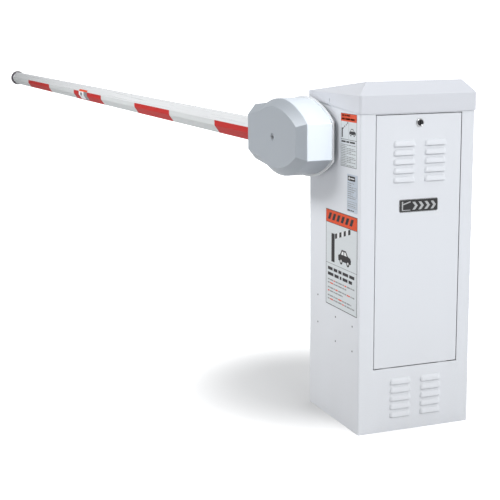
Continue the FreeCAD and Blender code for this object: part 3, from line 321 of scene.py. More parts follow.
# %% Reflective cells
cells, given, wanted = new_group(
    "Reflective cells", [("Color", "Color", (0.6, 0.05, 0.04, 1)), ("Seam", "Color", (0.5, 0.1, 0.08, 1)),
                         ("Scale", "Float", 300.0), ("Roughness", "Float", 0.3)],
    [("Color", "Color"), ("Roughness", "Float"), ("Height", "Float")])
spot = surface_spot(cells, (1.0, 1.4, 1.4))
streaks = surface_spot(cells, (0.8, 30, 30))
comb = add(cells, "TexVoronoi", {"Vector": spot, "Scale": given["Scale"], "Randomness": 0.12},
           feature="DISTANCE_TO_EDGE").outputs["Distance"]
border = add(cells, "MapRange", {"Value": comb, "From Min": 0.10, "From Max": 0.02}).outputs[0]
fade = add(cells, "TexNoise", {"Vector": streaks, "Scale": 6.0, "Detail": 3.0}).outputs["Fac"]
seam = maths(cells, "ADD", maths(cells, "MULTIPLY", border, 0.35), maths(cells, "MULTIPLY", fade, 0.3))
cells.links.new(mix_colours(cells, seam, given["Color"], given["Seam"]), wanted["Color"])
cells.links.new(maths(cells, "ADD", given["Roughness"], maths(cells, "MULTIPLY", fade, 0.15), True),
                wanted["Roughness"])
cells.links.new(comb, wanted["Height"])
print("groups:", ", ".join(g.name for g in bpy.data.node_groups))

# %% [markdown]
# ## Finish makers
#
# Four ways of finishing cover the whole object: powder coat, machined metal, casting or moulding,
# and film. Copying a material and changing its colour would work too, but then a change to the
# paint has to be made many times. Each maker places the groups it needs and feeds one Principled
# shader. Numbers that are the same all over, such as coat and metallic, sit on its own sockets.

# %% Finish makers
def finish(name, roughness=0.5, **values):
    """A material with one Principled shader. Returns it with its node tree and shader."""
    material = bpy.data.materials.new(name)
    material.use_nodes = True
    tree = material.node_tree
    shader = tree.nodes["Principled BSDF"]
    for key, value in values.items():
        shader.inputs[key.replace("_", " ")].default_value = value
    shader.inputs["Roughness"].default_value = roughness
    return material, tree, shader


def join(tree, shader, parts, bump, depth, colour):
    """Wires a colour, and a group's roughness and height, into the shader."""
    tree.links.new(colour, shader.inputs["Base Color"])
    tree.links.new(parts["Roughness"], shader.inputs["Roughness"])
    ridge = add(tree, "Bump", {"Height": parts["Height"], "Strength": bump, "Distance": depth})
    tree.links.new(ridge.outputs[0], shader.inputs["Normal"])


def powder_coat(name, colour, shade, roughness=0.36, ground_shading=0.55, worn=0.25, bare=(0.9, 0.9, 0.9),
                **values):
    """Baked powder paint, chipped on its edges, with painted shade darkening it near the ground."""
    material, tree, shader = finish(name, **values)
    coat = use(tree, peel, {"Color": (*colour, 1), "Shade": (*shade, 1), "Roughness": roughness})
    edges = use(tree, wear, {"Color": coat["Color"], "Bare": (*bare, 1), "Width": 0.0018, "Amount": worn})
    # Painted shade near the ground, laid over the chipped colour.
    shaded = use(tree, ground_shade, {"Color": edges["Color"], "Amount": ground_shading})
    join(tree, shader, coat, 0.12, 0.0002, shaded["Color"])
    return material


def machined(name, colour, dark, stretch, roughness=0.32, metallic=1.0, bump=0.08, worn=0.4,
             **values):
    """Turned, drawn or brushed metal, with lines along its stretch."""
    material, tree, shader = finish(name, Metallic=metallic, **values)
    parts = use(tree, grain, {"Color": (*colour, 1), "Dark": (*dark, 1), "Stretch": stretch,
                              "Roughness": roughness})
    edges = use(tree, wear, {"Color": parts["Color"], "Bare": (0.8, 0.8, 0.8, 1), "Width": 0.001,
                             "Amount": worn})
    join(tree, shader, parts, bump, 0.0003, edges["Color"])
    return material


def casting(name, colour, dark, scale=500.0, roughness=0.5, bump=0.25, worn=0.5, **values):
    """Cast metal or moulded plastic and rubber, rubbed paler on its edges."""
    material, tree, shader = finish(name, **values)
    rubbed = [min(1, c * 1.8 + 0.08) for c in colour]
    parts = use(tree, skin, {"Color": (*colour, 1), "Dark": (*dark, 1), "Scale": scale,
                             "Roughness": roughness})
    edges = use(tree, wear, {"Color": parts["Color"], "Bare": (*rubbed, 1), "Width": 0.0015,
                             "Amount": worn})
    join(tree, shader, parts, bump, 0.0004, edges["Color"])
    return material


def film(name, colour, seam, scale=300.0, roughness=0.28, bump=0.1, **values):
    """Reflective tape, printing ink or solder mask."""
    material, tree, shader = finish(name, **values)
    parts = use(tree, cells, {"Color": (*colour, 1), "Seam": (*seam, 1), "Scale": scale,
                              "Roughness": roughness})
    join(tree, shader, parts, bump, 0.0002, parts["Color"])
    return material


print("four finish makers")

# %% [markdown]
# ## The barrier's finishes
#
# White and grey powder coat for the cabinet, silver paint for the hub cover, enamel on the motor and
# the gear case, zinc on the sheet parts inside, oiled steel on the linkage, and film on the arm. One
# dictionary, with the record's slot names as its keys, dresses every CAD node in a short loop.

# %% The barrier's finishes
finishes = {
    # The cabinet's paint gets a little painted shade near the ground.
    "cabinet_paint": powder_coat("cabinet_powder_coat", (0.78, 0.80, 0.84), (0.74, 0.765, 0.815), ground_shading=0.2),
    # Painted shade: the lid's paint is the cabinet's white made darker, so that the lid's front reads darker
    # than the door.
    "lid_paint": powder_coat("lid_powder_coat_painted_shade", (0.70, 0.715, 0.76), (0.66, 0.68, 0.73), ground_shading=0.0),
    "frame_paint": powder_coat("grey_primer", (0.36, 0.38, 0.40), (0.30, 0.32, 0.34), 0.5, worn=0.5,
                               bare=(0.55, 0.55, 0.56)),
    "zinc_plate": casting("zinc_plated_steel", (0.55, 0.56, 0.57), (0.44, 0.45, 0.47), 60.0, 0.34, 0.02,
                          Metallic=0.9),
    "fasteners": machined("zinc_fasteners", (0.42, 0.43, 0.45), (0.28, 0.29, 0.31), (180, 180, 180), 0.36),
    "cast_blue_grey": casting("painted_gear_case", (0.13, 0.17, 0.21), (0.09, 0.12, 0.15)),
    "motor_paint": casting("motor_enamel", (0.035, 0.037, 0.042), (0.022, 0.023, 0.027), 700.0, 0.34, 0.12,
                           Coat_Weight=0.3),
    "rivet_steel": machined("weathered_rivets", (0.12, 0.12, 0.13), (0.07, 0.07, 0.08), (180, 180, 180),
                            0.4),
    "shaft_steel": machined("turned_shaft_steel", (0.56, 0.56, 0.58), (0.38, 0.38, 0.40), (10, 700, 10),
                            0.26),
    "forged_steel": casting("oiled_forging", (0.22, 0.22, 0.235), (0.13, 0.13, 0.14), 350.0, 0.42, 0.2,
                            Metallic=0.85),
    "pulley_iron": machined("turned_pulley_iron", (0.26, 0.265, 0.28), (0.16, 0.165, 0.175), (500, 20, 20),
                            0.4),
    "belt_rubber": casting("belt_rubber", (0.03, 0.03, 0.032), (0.045, 0.043, 0.042), 900.0, 0.75, 0.2),
    "bumper_rubber": casting("bumper_rubber", (0.025, 0.025, 0.027), (0.04, 0.039, 0.038), 800.0, 0.7, 0.15),
    "sensor_body": machined("nickel_sensor_barrel", (0.72, 0.70, 0.66), (0.5, 0.49, 0.46), (30, 30, 1100),
                            0.24),
    "board_green": film("circuit_board_mask", (0.015, 0.13, 0.045), (0.02, 0.20, 0.07), 180.0, 0.3),
    "black_plastic": casting("moulded_black_plastic", (0.022, 0.022, 0.024), (0.032, 0.032, 0.034), 1400.0,
                             0.45,
                             0.15, 0.2),
    "switch_red": casting("red_rocker_plastic", (0.48, 0.02, 0.015), (0.38, 0.015, 0.012), 1400.0, 0.3,
                          0.05, 0.1,
                          Coat_Weight=0.3),
    "lock_chrome": machined("lock_chrome", (0.74, 0.74, 0.75), (0.6, 0.6, 0.61), (90, 90, 90), 0.12,
                            bump=0.01),
    # Painted shade and painted dark reflection: the lock's recess and plug are coloured dark instead of
    # chrome.
    "lock_core": machined("lock_core_painted_dark", (0.10, 0.10, 0.105), (0.05, 0.05, 0.055), (90, 90, 90), 0.2,
                          bump=0.01),
    "cam_steel": machined("cam_zinc", (0.55, 0.54, 0.48), (0.42, 0.41, 0.35), (40, 40, 240), 0.34),
    "hub_shell": powder_coat("hub_silver_paint", (0.41, 0.445, 0.485), (0.38, 0.415, 0.455), 0.34, 0.0, 0.08,
                             (0.6, 0.63, 0.66), Metallic=0.1),
    "hub_back_white": powder_coat("backplate_white", (0.84, 0.85, 0.86), (0.80, 0.81, 0.83), 0.42, 0.0),
    "cap_grey": casting("moulded_cap_grey", (0.06, 0.05, 0.065), (0.08, 0.07, 0.085), 1200.0, 0.4, 0.1, 0.3),
    "arm_white": machined("arm_white_coating", (0.84, 0.85, 0.86), (0.76, 0.775, 0.785), (2, 420, 420), 0.3,
                          0.0,
                          0.1, 0.0, Coat_Weight=0.25),
    "tape_red": film("red_reflective_tape", (0.50, 0.014, 0.012), (0.56, 0.045, 0.038), 300.0, 0.45,
                     Specular_IOR_Level=0.15),
    # Painted shade: the white tape is coloured grey, well below the arm's white, as the front facet looks in
    # shade.
    "tape_white": film("white_tape_painted_shade_grey", (0.66, 0.68, 0.68), (0.56, 0.58, 0.585), 300.0, 0.42,
                       Specular_IOR_Level=0.3),
    "sign_face": film("sign_face_film", (0.70, 0.735, 0.755), (0.62, 0.66, 0.685), 700.0, 0.3, 0.03),
    "rating_foil": machined("rating_foil", (0.62, 0.68, 0.76), (0.5, 0.56, 0.64), (500, 500, 8), 0.35,
                            0.35, 0.03, 0),
    "badge_face": casting("badge_black", (0.012, 0.012, 0.013), (0.02, 0.02, 0.022), 1500.0, 0.25, 0.03, 0.0,
                          Coat_Weight=0.5),
}
for node in nodes.values():
    slot_name = node.data.materials[0].name
    node.data.materials[0] = finishes[slot_name]
print(len(finishes), "finishes on", len(nodes), "CAD nodes")

# %% [markdown]
# ## Tools for new pieces
#
# A new piece is one object whose mesh is drawn in the frame's own metres, so the object itself stays
# at the origin, unturned. It rides on a CAD body, takes its finishes, and hides the CAD nodes it
# stands for. Weighted normals keep flat sheet flat beside its rounded edges.

# %% Piece helpers
TOUCHING = 1e-6


def mm(*values):
    """A place or a step, given in millimetres."""
    return Vector(v * MM for v in values)


def new_piece(name, bm, body, materials, stands_for=(), wall=0.0, clean=True):
    """Turns a bmesh into a named piece with its finish, wall thickness and body."""
    if clean:
        bmesh.ops.remove_doubles(bm, verts=bm.verts, dist=TOUCHING)
    mesh = bpy.data.meshes.new(name)
    bm.to_mesh(mesh)
    bm.free()
    mesh.shade_smooth()
    mesh.set_sharp_from_angle(angle=math.radians(50))
    for material in materials:
        mesh.materials.append(material)
    piece = bpy.data.objects.new(name, mesh)
    bpy.context.scene.collection.objects.link(piece)
    if wall:
        shell = piece.modifiers.new("Sheet thickness", "SOLIDIFY")
        shell.thickness, shell.offset = wall, -1.0
    level = piece.modifiers.new("Flat faces stay flat", "WEIGHTED_NORMAL")
    level.keep_sharp = True
    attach(piece, body)
    if stands_for:
        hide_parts(*stands_for)
    print(f"{name}: {len(mesh.polygons)} faces on {body}")
    return piece


def bevel(bm, edges, radius, steps=3):
    """Rounds edges with a true arc."""
    bmesh.ops.bevel(bm, geom=edges, offset=radius, offset_type="OFFSET", segments=steps, profile=0.5,
                    affect="EDGES", material=-1, clamp_overlap=True)


def crisp_edges(bm, angle=25.0):
    """Edges between two faces that meet at more than an angle."""
    bm.normal_update()
    return [e for e in bm.edges if len(e.link_faces) == 2 and e.calc_face_angle() > math.radians(angle)]


def slice_mesh(bm, axis, values):
    """Cuts every face where it crosses planes at these values along an axis (0, 1 or 2)."""
    normal = Vector((0, 0, 0))
    normal[axis] = 1.0
    for value in values:
        bmesh.ops.bisect_plane(bm, geom=bm.verts[:] + bm.edges[:] + bm.faces[:], plane_co=normal * value,
                               plane_no=normal, dist=1e-7)


def pull(bm, made, by):
    """Moves the new points of an extrusion, and returns them."""
    points = [g for g in made["geom"] if isinstance(g, bmesh.types.BMVert)]
    bmesh.ops.translate(bm, verts=points, vec=by)
    return points


def turn_outline(bm, profile, axis_point, axis, steps=32):
    """Spins an open outline of points a full turn round an axis."""
    verts = [bm.verts.new(p) for p in profile]
    edges = [bm.edges.new(pair) for pair in zip(verts, verts[1:])]
    bmesh.ops.spin(bm, geom=verts + edges, cent=axis_point, axis=axis, angle=math.tau, steps=steps,
                   use_merge=True)


def weld(bm):
    """Merges the points that touch and makes the faces agree."""
    bmesh.ops.remove_doubles(bm, verts=bm.verts, dist=TOUCHING)
    bmesh.ops.recalc_face_normals(bm, faces=bm.faces)


def face_outwards(bm, middle):
    """Makes an open shell's faces agree, and look away from a place inside it."""
    bmesh.ops.recalc_face_normals(bm, faces=bm.faces)
    bm.normal_update()
    if sum(f.normal.dot(f.calc_center_median() - middle) * f.calc_area() for f in bm.faces) < 0:
        bmesh.ops.reverse_faces(bm, faces=bm.faces)
        bm.normal_update()


def block(bm, low, high):
    """A box between two corners, from a unit cube."""
    low, high = Vector(low), Vector(high)
    size = Matrix.Diagonal((*(high - low), 1.0))
    bmesh.ops.create_cube(bm, size=1.0, matrix=Matrix.Translation((low + high) / 2) @ size)


print("piece helpers ready")

# %% [markdown]
# ## Lid
#
# The lid is folded from one sheet: a deep skirt in front, a shallower one behind, and a hipped top
# that falls away to the back. It could be a subdivided cube, but the planes have to stay flat, so
# the ten corners are wrapped in a convex hull, its folds are bevelled, the underside is taken
# off and the sheet gets its thickness. A short slot is punched in each side skirt.

# %% Lid hood
lid_low, lid_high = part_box("lid_hood")
EAVE, RIDGE_IN_X, RIDGE_IN_Y, SKIRT_BACK = 0.998, 33 * MM, 34 * MM, 0.974
SLOT_X, SLOT_Z = (-25.7 * MM, -22.5 * MM), (0.968, 0.982)
bm = bmesh.new()
for side in (lid_low.y, lid_high.y):
    inward = RIDGE_IN_Y if side < 0 else -RIDGE_IN_Y
    for corner in ((lid_high.x, side, lid_low.z), (lid_high.x, side, EAVE),
                   (lid_high.x - RIDGE_IN_X, side + inward, lid_high.z),
                   (lid_low.x, side, EAVE), (lid_low.x, side, SKIRT_BACK)):
        bm.verts.new(corner)
bmesh.ops.convex_hull(bm, input=bm.verts)
bmesh.ops.dissolve_limit(bm, angle_limit=math.radians(1), verts=bm.verts, edges=bm.edges)
bmesh.ops.recalc_face_normals(bm, faces=bm.faces)
underside = [f for f in bm.faces if f.normal.z < -0.9]
bmesh.ops.delete(bm, geom=underside, context="FACES_ONLY")
upright = [e for e in crisp_edges(bm) if abs((e.verts[0].co - e.verts[1].co).normalized().z) > 0.99]
bevel(bm, upright, 9 * MM, 6)
bevel(bm, crisp_edges(bm, 10), 2.2 * MM, 3)
cuts = [(Vector((x, 0, 0)), (1, 0, 0)) for x in SLOT_X] + [(Vector((0, 0, z)), (0, 0, 1)) for z in SLOT_Z]
for side in (lid_low.y, lid_high.y):
    for cut_at, across in cuts:
        skirt = [f for f in bm.faces if all(abs(v.co.y - side) < 1e-5 for v in f.verts)]
        ring = {e for f in skirt for e in f.edges} | {v for f in skirt for v in f.verts}
        bmesh.ops.bisect_plane(bm, geom=skirt + list(ring), plane_co=cut_at, plane_no=across, dist=1e-7)
slot_faces = []
for f in bm.faces:
    c = f.calc_center_median()
    if abs(abs(c.y) - lid_high.y) < 1e-4 and SLOT_X[0] < c.x < SLOT_X[1] and SLOT_Z[0] < c.z < SLOT_Z[1]:
        slot_faces.append(f)
bmesh.ops.delete(bm, geom=slot_faces, context="FACES")
print(len(slot_faces), "slots punched")
new_piece("lid_shell", bm, "cabinet", [finishes["lid_paint"]], ["lid_hood"], wall=2 * MM)

# %% [markdown]
# ## Louvred sheets
#
# A louvre is cut along its lower lip and pressed out by a rounded punch, so it is one with the
# sheet. Modelling hoods as separate shells would leave a seam in the paint. The sheet is
# one face instead, sliced by planes where the hoods need points; the lip is split open, and the
# points above it are pushed out along a soft curve.

# %% Pressed louvres
LOUVRE_HALF, LOUVRE_TALL, LOUVRE_OUT = 35 * MM, 18.5 * MM, 6.4 * MM
ACROSS = (-1.0, -0.985, -0.96, -0.92, -0.87, -0.8, -0.7, 0.7, 0.8, 0.87, 0.92, 0.96, 0.985, 1.0)
UP = (0.0, 0.09, 0.2, 0.33, 0.46, 0.6, 0.72, 0.83, 0.92, 1.0)


def hood_height(across, up):
    """How far a hood stands out, from 1 at its lip to 0 at its rounded outline."""
    reach = min(1.0, abs(across) ** 7 + up ** 2.3)
    return (1.0 - reach) ** 0.62


def louvred_sheet(low, high, columns, top, pitch, rows=5, extra_y=(), extra_z=()):
    """A sheet facing +X with pressed louvres, each open along its lower lip."""
    bm = bmesh.new()
    corners = ((low.y, low.z), (high.y, low.z), (high.y, high.z), (low.y, high.z))
    bm.faces.new([bm.verts.new((high.x, y, z)) for y, z in corners])
    lips = [top - row * pitch for row in range(rows)]
    slice_mesh(bm, 1, [c + a * LOUVRE_HALF for c in columns for a in ACROSS] + list(extra_y))
    slice_mesh(bm, 2, [lip + u * LOUVRE_TALL for lip in lips for u in UP] + list(extra_z))
    slits = [e for e in bm.edges for c in columns for lip in lips
             if all(abs(v.co.z - lip) < 1e-6 and abs(v.co.y - c) < LOUVRE_HALF + 1e-6 for v in e.verts)]
    bmesh.ops.split_edges(bm, edges=slits)
    for c in columns:
        for lip in lips:
            raised = {v for f in bm.faces for v in f.verts
                      if abs(f.calc_center_median().y - c) < LOUVRE_HALF
                      and 0 < f.calc_center_median().z - lip < LOUVRE_TALL}
            for v in raised:
                share = hood_height((v.co.y - c) / LOUVRE_HALF, max(0.0, (v.co.z - lip) / LOUVRE_TALL))
                v.co.x = high.x + LOUVRE_OUT * share
    return bm


def cut_window(bm, y0, y1, z0, z1):
    """Takes out the faces inside a rectangle whose edges are already sliced."""
    gone = [f for f in bm.faces if y0 < f.calc_center_median().y < y1
            and z0 < f.calc_center_median().z < z1]
    bmesh.ops.delete(bm, geom=gone, context="FACES")
    return len(gone)


print("a hood stands", round(LOUVRE_OUT / MM, 1), "mm out of the sheet")

# %% [markdown]
# ## Front panel and service door
#
# Both are cut from the same kind of sheet: the panel has a window for the door, with an even gap
# round it, and the door is a shallow pan with its edges turned back and two hooks at its
# lower edge. A Boolean could cut the window, but slicing the sheet where its edges lie and deleting the
# middle leaves cleaner faces.

# %% Front panel
FRONT = 0.1775
DOOR_LOW, DOOR_HIGH = Vector((FRONT - 20 * MM, -0.1345, 0.1975)), Vector((FRONT, 0.1405, 0.9415))
GAP = 2.2 * MM
LOUVRE_PITCH = 25.4 * MM
panel_low, panel_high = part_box("front_panel")
panel_high.x = FRONT
opening = (DOOR_LOW.y - GAP, DOOR_HIGH.y + GAP, DOOR_LOW.z - GAP, DOOR_HIGH.z + GAP)
bm = louvred_sheet(panel_low, panel_high, (-46.5 * MM, 54.5 * MM), 0.145, LOUVRE_PITCH,
                   extra_y=opening[:2], extra_z=opening[2:])
print(cut_window(bm, *opening), "faces cut out for the door")
new_piece("front_sheet", bm, "cabinet", [finishes["cabinet_paint"]], ["front_panel"],
          wall=2.5 * MM)

# %% Service door
LOCK = Vector((FRONT, 4 * MM, 0.9175))
LOCK_HALF = 9 * MM
HOOK_Y = (-90 * MM, 96 * MM)
hole = (LOCK.y - LOCK_HALF, LOCK.y + LOCK_HALF, LOCK.z - LOCK_HALF, LOCK.z + LOCK_HALF)
bm = louvred_sheet(DOOR_LOW, DOOR_HIGH, (-45 * MM, 56 * MM), 0.8515, 25.8 * MM,
                   extra_y=hole[:2], extra_z=hole[2:])
cut_window(bm, *hole)
limits = ((1, DOOR_LOW.y), (1, DOOR_HIGH.y), (2, DOOR_LOW.z), (2, DOOR_HIGH.z))
outline = [e for e in bm.edges if e.is_boundary and any(
    all(abs(v.co[axis] - limit) < TOUCHING for v in e.verts) for axis, limit in limits)]
pull(bm, bmesh.ops.extrude_edge_only(bm, edges=outline), (DOOR_LOW.x - DOOR_HIGH.x, 0, 0))
folds = [e for e in crisp_edges(bm, 80) if abs(e.verts[0].co.x - e.verts[1].co.x) > 0.015 or all(
    abs(v.co.x - DOOR_HIGH.x) < TOUCHING for v in e.verts)]
bevel(bm, folds, 1.6 * MM, 3)
for y in HOOK_Y:
    block(bm, (DOOR_LOW.x + 12 * MM, y - 15 * MM, DOOR_LOW.z - 14 * MM),
          (DOOR_LOW.x + 14.8 * MM, y + 15 * MM, DOOR_LOW.z + 1 * MM))
new_piece("door_pan", bm, "door", [finishes["cabinet_paint"]], ["service_door"],
          wall=2 * MM)

# %% [markdown]
# ## Outlines with arcs and holes
#
# The hub cover's outline is a flat right end, two long arcs and a straight neck. A curve object
# could draw it, but its points would land anywhere. Spinning one vertex about the arc's
# centre gives evenly spaced points that match from one outline to the next, so that two outlines
# can be bridged. Half of it is drawn and mirrored. A second helper opens a hole in a flat face.

# %% Outline and hole helpers
PIVOT = Vector((-0.040, 0.0, 0.858))
ARM_Y = -0.253
COVER_LEFT = -0.3995


def sweep_point(bm, vert, through, end, steps=18):
    """Spins one vertex along the arc through two more points, all at one Y. Returns the last."""
    a, b, c = (Vector((p.x, p.z)) for p in (vert.co, through, end))
    d = 2 * (a.x * (b.y - c.y) + b.x * (c.y - a.y) + c.x * (a.y - b.y))
    aa, bb, cc = a.length_squared, b.length_squared, c.length_squared
    centre = Vector(((aa * (b.y - c.y) + bb * (c.y - a.y) + cc * (a.y - b.y)) / d,
                     (aa * (c.x - b.x) + bb * (a.x - c.x) + cc * (b.x - a.x)) / d))
    angle = (a - centre).angle_signed(c - centre)
    made = bmesh.ops.spin(bm, geom=[vert], cent=(centre.x, vert.co.y, centre.y), axis=(0, 1, 0),
                          angle=angle, steps=steps)
    return next(g for g in made["geom_last"] if isinstance(g, bmesh.types.BMVert))


def cover_outline(bm, y, right, right_half, crown, neck, left, left_half):
    """One closed outline of the cover at a depth. Returns its edges."""
    before = set(bm.edges)
    start = bm.verts.new((right, y, PIVOT.z))
    corner = bm.verts.new((right, y, PIVOT.z + right_half))
    bm.edges.new((start, corner))
    kink = sweep_point(bm, corner, Vector((crown[0], y, PIVOT.z + crown[1])),
                       Vector((neck[0], y, PIVOT.z + neck[1])))
    shoulder = bm.verts.new((left, y, PIVOT.z + left_half))
    end = bm.verts.new((left, y, PIVOT.z))
    bm.edges.new((kink, shoulder))
    bm.edges.new((shoulder, end))
    upper = [e for e in bm.edges if e not in before]
    points = list({v for e in upper for v in e.verts})
    bmesh.ops.mirror(bm, geom=points + upper, axis="Z", merge_dist=TOUCHING,
                     matrix=Matrix.Translation((0, 0, -PIVOT.z)))
    bmesh.ops.remove_doubles(bm, verts=[v for v in bm.verts if abs(v.co.z - PIVOT.z) < TOUCHING
                                        and abs(v.co.y - y) < 1e-7], dist=TOUCHING)
    return [e for e in bm.edges if e not in before]


def outer_outline(bm, y, grow=0.0):
    """The cover's widest outline, grown by millimetres."""
    g = grow * MM
    return cover_outline(bm, y, 0.024 + g, 0.0545 + 0.8 * g, (-0.144, 0.1165 + g), (-0.294, 0.099 + g),
                         COVER_LEFT - g, 0.088 + g)


def pierce(bm, face, points):
    """Opens a hole with the given outline in a flat face. Returns the hole's edges."""
    normal = face.normal.copy()
    border = list(face.edges)
    bmesh.ops.delete(bm, geom=[face], context="FACES_ONLY")
    verts = [bm.verts.new(p) for p in points]
    hole_edges = [bm.edges.new(pair) for pair in zip(verts, verts[1:] + verts[:1])]
    made = bmesh.ops.triangle_fill(bm, use_beauty=True, edges=border + hole_edges, normal=normal)
    fill = [g for g in made["geom"] if isinstance(g, bmesh.types.BMFace)]
    for f in fill:
        if f.normal.dot(normal) < 0:
            f.normal_flip()
    return hole_edges


def ring_y(x, y, z, radius, steps=40):
    """Points of a circle facing Y."""
    turns = [math.tau * k / steps for k in range(steps)]
    return [Vector((x + radius * math.cos(t), y, z + radius * math.sin(t))) for t in turns]


def arm_corners(x, grow=0.0):
    """The arm's eight-sided outline at one place along it, grown by millimetres."""
    w, h = (32 + grow) * MM, (37.5 + grow) * MM
    cy, cz = (20 + 0.6 * grow) * MM, (28 + 0.6 * grow) * MM
    pairs = ((w, h - cz), (w - cy, h), (cy - w, h), (-w, h - cz),
             (-w, cz - h), (cy - w, -h), (w - cy, -h), (w, cz - h))
    return [Vector((x, ARM_Y + y, PIVOT.z + z)) for y, z in pairs]


print("outline helpers ready")

# %% [markdown]
# ## Hub cover
#
# The cover is a deep plastic moulding in silver paint, with one broad chamfer all round its face and
# a screw at the bottom of a small well. A bevelled block would miss the chamfer's changing width. Two
# outlines are bridged instead, the back is left open, and the arm comes out through a hole in its
# end.

# %% Hub cover
COVER_BACK, COVER_SHOULDER, COVER_FRONT = -0.202, -0.281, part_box("hub_cover")[0].y
SCREW = Vector((-0.190, COVER_FRONT, PIVOT.z))
WELL_R, WELL_DEPTH, WELL_TAPER = 12.5 * MM, 4 * MM, 0.78
bm = bmesh.new()
walls = bmesh.ops.extrude_edge_only(bm, edges=outer_outline(bm, COVER_BACK))
pull(bm, walls, (0, COVER_SHOULDER - COVER_BACK, 0))
shoulder_loop = [g for g in walls["geom"] if isinstance(g, bmesh.types.BMEdge)
                 and all(abs(v.co.y - COVER_SHOULDER) < TOUCHING for v in g.verts)]
front_loop = cover_outline(bm, COVER_FRONT, -0.004, 0.044, (-0.150, 0.0925), (-0.296, 0.072),
                           COVER_LEFT, 0.056)
bmesh.ops.bridge_loops(bm, edges=shoulder_loop + front_loop)
bmesh.ops.edgeloop_fill(bm, edges=front_loop)
inside_cover = Vector((SCREW.x, ARM_Y, PIVOT.z))
face_outwards(bm, inside_cover)
end_faces = [f for f in bm.faces if all(abs(v.co.x - COVER_LEFT) < TOUCHING for v in f.verts)]
bmesh.ops.dissolve_faces(bm, faces=end_faces)
bmesh.ops.dissolve_limit(bm, angle_limit=math.radians(0.5), verts=bm.verts, edges=bm.edges)
bevel(bm, crisp_edges(bm, 12), 1.5 * MM, 3)
bm.normal_update()
print("the cover has", len(bm.faces), "faces before its holes")

# %% Cover holes
front_face = max((f for f in bm.faces if f.normal.y < -0.999), key=lambda f: f.calc_area())
lip = pierce(bm, front_face, ring_y(SCREW.x, COVER_FRONT, SCREW.z, WELL_R))
well = bmesh.ops.extrude_edge_only(bm, edges=lip)
bottom = pull(bm, well, (0, WELL_DEPTH, 0))
bmesh.ops.scale(bm, verts=bottom, vec=(WELL_TAPER, 1, WELL_TAPER), space=Matrix.Translation(-SCREW))
bmesh.ops.edgeloop_fill(bm, edges=[g for g in well["geom"] if isinstance(g, bmesh.types.BMEdge)
                                   and all(v in bottom for v in g.verts)])
bm.normal_update()
end_face = max((f for f in bm.faces if f.normal.x < -0.999), key=lambda f: f.calc_area())
end_x = end_face.calc_center_median().x
pierce(bm, end_face, [Vector((end_x, p.y, p.z)) for p in arm_corners(0, 1.5)])
face_outwards(bm, inside_cover)
hub_cover_piece = new_piece("hub_shell", bm, "arm", [finishes["hub_shell"]], ["hub_cover"],
                            wall=3 * MM, clean=False)

# %% [markdown]
# ## Hub backplate
#
# A white plate stands behind the cover and turns with it, a little larger all round, so that a
# thin bright line shows at its edge. It is the same outline once more, filled and extruded. Four posts
# hold it to the arm's bracket, and the shaft passes through a hole.

# %% Hub backplate
PLATE_FACE, PLATE_THICK, PLATE_GROWTH = -0.197, 4 * MM, 6.0
POST_R, POST_LONG, POST_Y = 6 * MM, 12 * MM, -0.207
bm = bmesh.new()
face = bmesh.ops.edgeloop_fill(bm, edges=outer_outline(bm, PLATE_FACE, PLATE_GROWTH))["faces"][0]
pull(bm, bmesh.ops.extrude_face_region(bm, geom=[face], use_keep_orig=True), (0, -PLATE_THICK, 0))
bmesh.ops.recalc_face_normals(bm, faces=bm.faces)
bevel(bm, crisp_edges(bm, 60), 0.9 * MM, 3)
bm.normal_update()
holes = []
for side in (-1, 1):
    flat_face = max((f for f in bm.faces if f.normal.y * side > 0.999), key=lambda f: f.calc_area())
    holes += pierce(bm, flat_face, ring_y(PIVOT.x, flat_face.calc_center_median().y, PIVOT.z, 19 * MM))
bmesh.ops.bridge_loops(bm, edges=holes)
upright_to_y = Matrix.Rotation(math.pi / 2, 4, "X")
for x in (-0.110, -0.330):
    for z in (-0.040, 0.040):
        bmesh.ops.create_cone(bm, cap_ends=True, segments=24, radius1=POST_R, radius2=POST_R, depth=POST_LONG,
                              matrix=Matrix.Translation((x, POST_Y, PIVOT.z + z)) @ upright_to_y)
bmesh.ops.recalc_face_normals(bm, faces=bm.faces)
new_piece("backplate_white", bm, "arm", [finishes["hub_back_white"]], ["hub_backplate"],
          clean=False)

# %% [markdown]
# ## Arm
#
# The arm is an aluminium extrusion with eight sides. Its corners are never sharp, because a die
# can't make them so, and small rounds catch the light along five metres. A stretched
# cylinder would have the wrong facets. One ring of corners is extruded and rounded, and the wall
# thickness follows.

# %% Arm tube
cap_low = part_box("arm_end_cap")[0]
TUBE_TIP, TUBE_END = cap_low.x + 10 * MM, -0.122
bm = bmesh.new()
ring = [bm.verts.new(p) for p in arm_corners(TUBE_TIP)]
loop = [bm.edges.new(pair) for pair in zip(ring, ring[1:] + ring[:1])]
pull(bm, bmesh.ops.extrude_edge_only(bm, edges=loop), (TUBE_END - TUBE_TIP, 0, 0))
face_outwards(bm, Vector(((TUBE_TIP + TUBE_END) / 2, ARM_Y, PIVOT.z)))
bevel(bm, crisp_edges(bm, 20), 3.0 * MM, 4)
new_piece("arm_extrusion", bm, "arm", [finishes["arm_white"]], ["arm_tube"], wall=2.5 * MM)

# %% [markdown]
# ## Tape
#
# Red and white reflective tape is stuck to the front facet and wraps a little under it. Painting the
# bands into the arm's material would lose the tape's thin edge. Each band is a skin that
# follows the arm's own corners, grown by under half a millimetre.

# %% Tape bands
def tape_skin(bm, x0, x1, grow, low_share=1.0, high_share=0.0):
    """A skin over the front facet, reaching a share of the facets below and above it."""
    corners = arm_corners(0, grow)
    turn, low_turn = corners[3], corners[4]
    line = [turn.lerp(corners[2], high_share), turn] if high_share else [turn - Vector((0, 0, 0.6 * MM))]
    line += [low_turn, low_turn.lerp(corners[5], low_share)]
    verts = [bm.verts.new((x0, p.y, p.z)) for p in line]
    edges = [bm.edges.new(pair) for pair in zip(verts, verts[1:])]
    pull(bm, bmesh.ops.extrude_edge_only(bm, edges=edges), (x1 - x0, 0, 0))
    bm.normal_update()
    for f in bm.faces:
        if f.normal.y > 0:
            f.normal_flip()


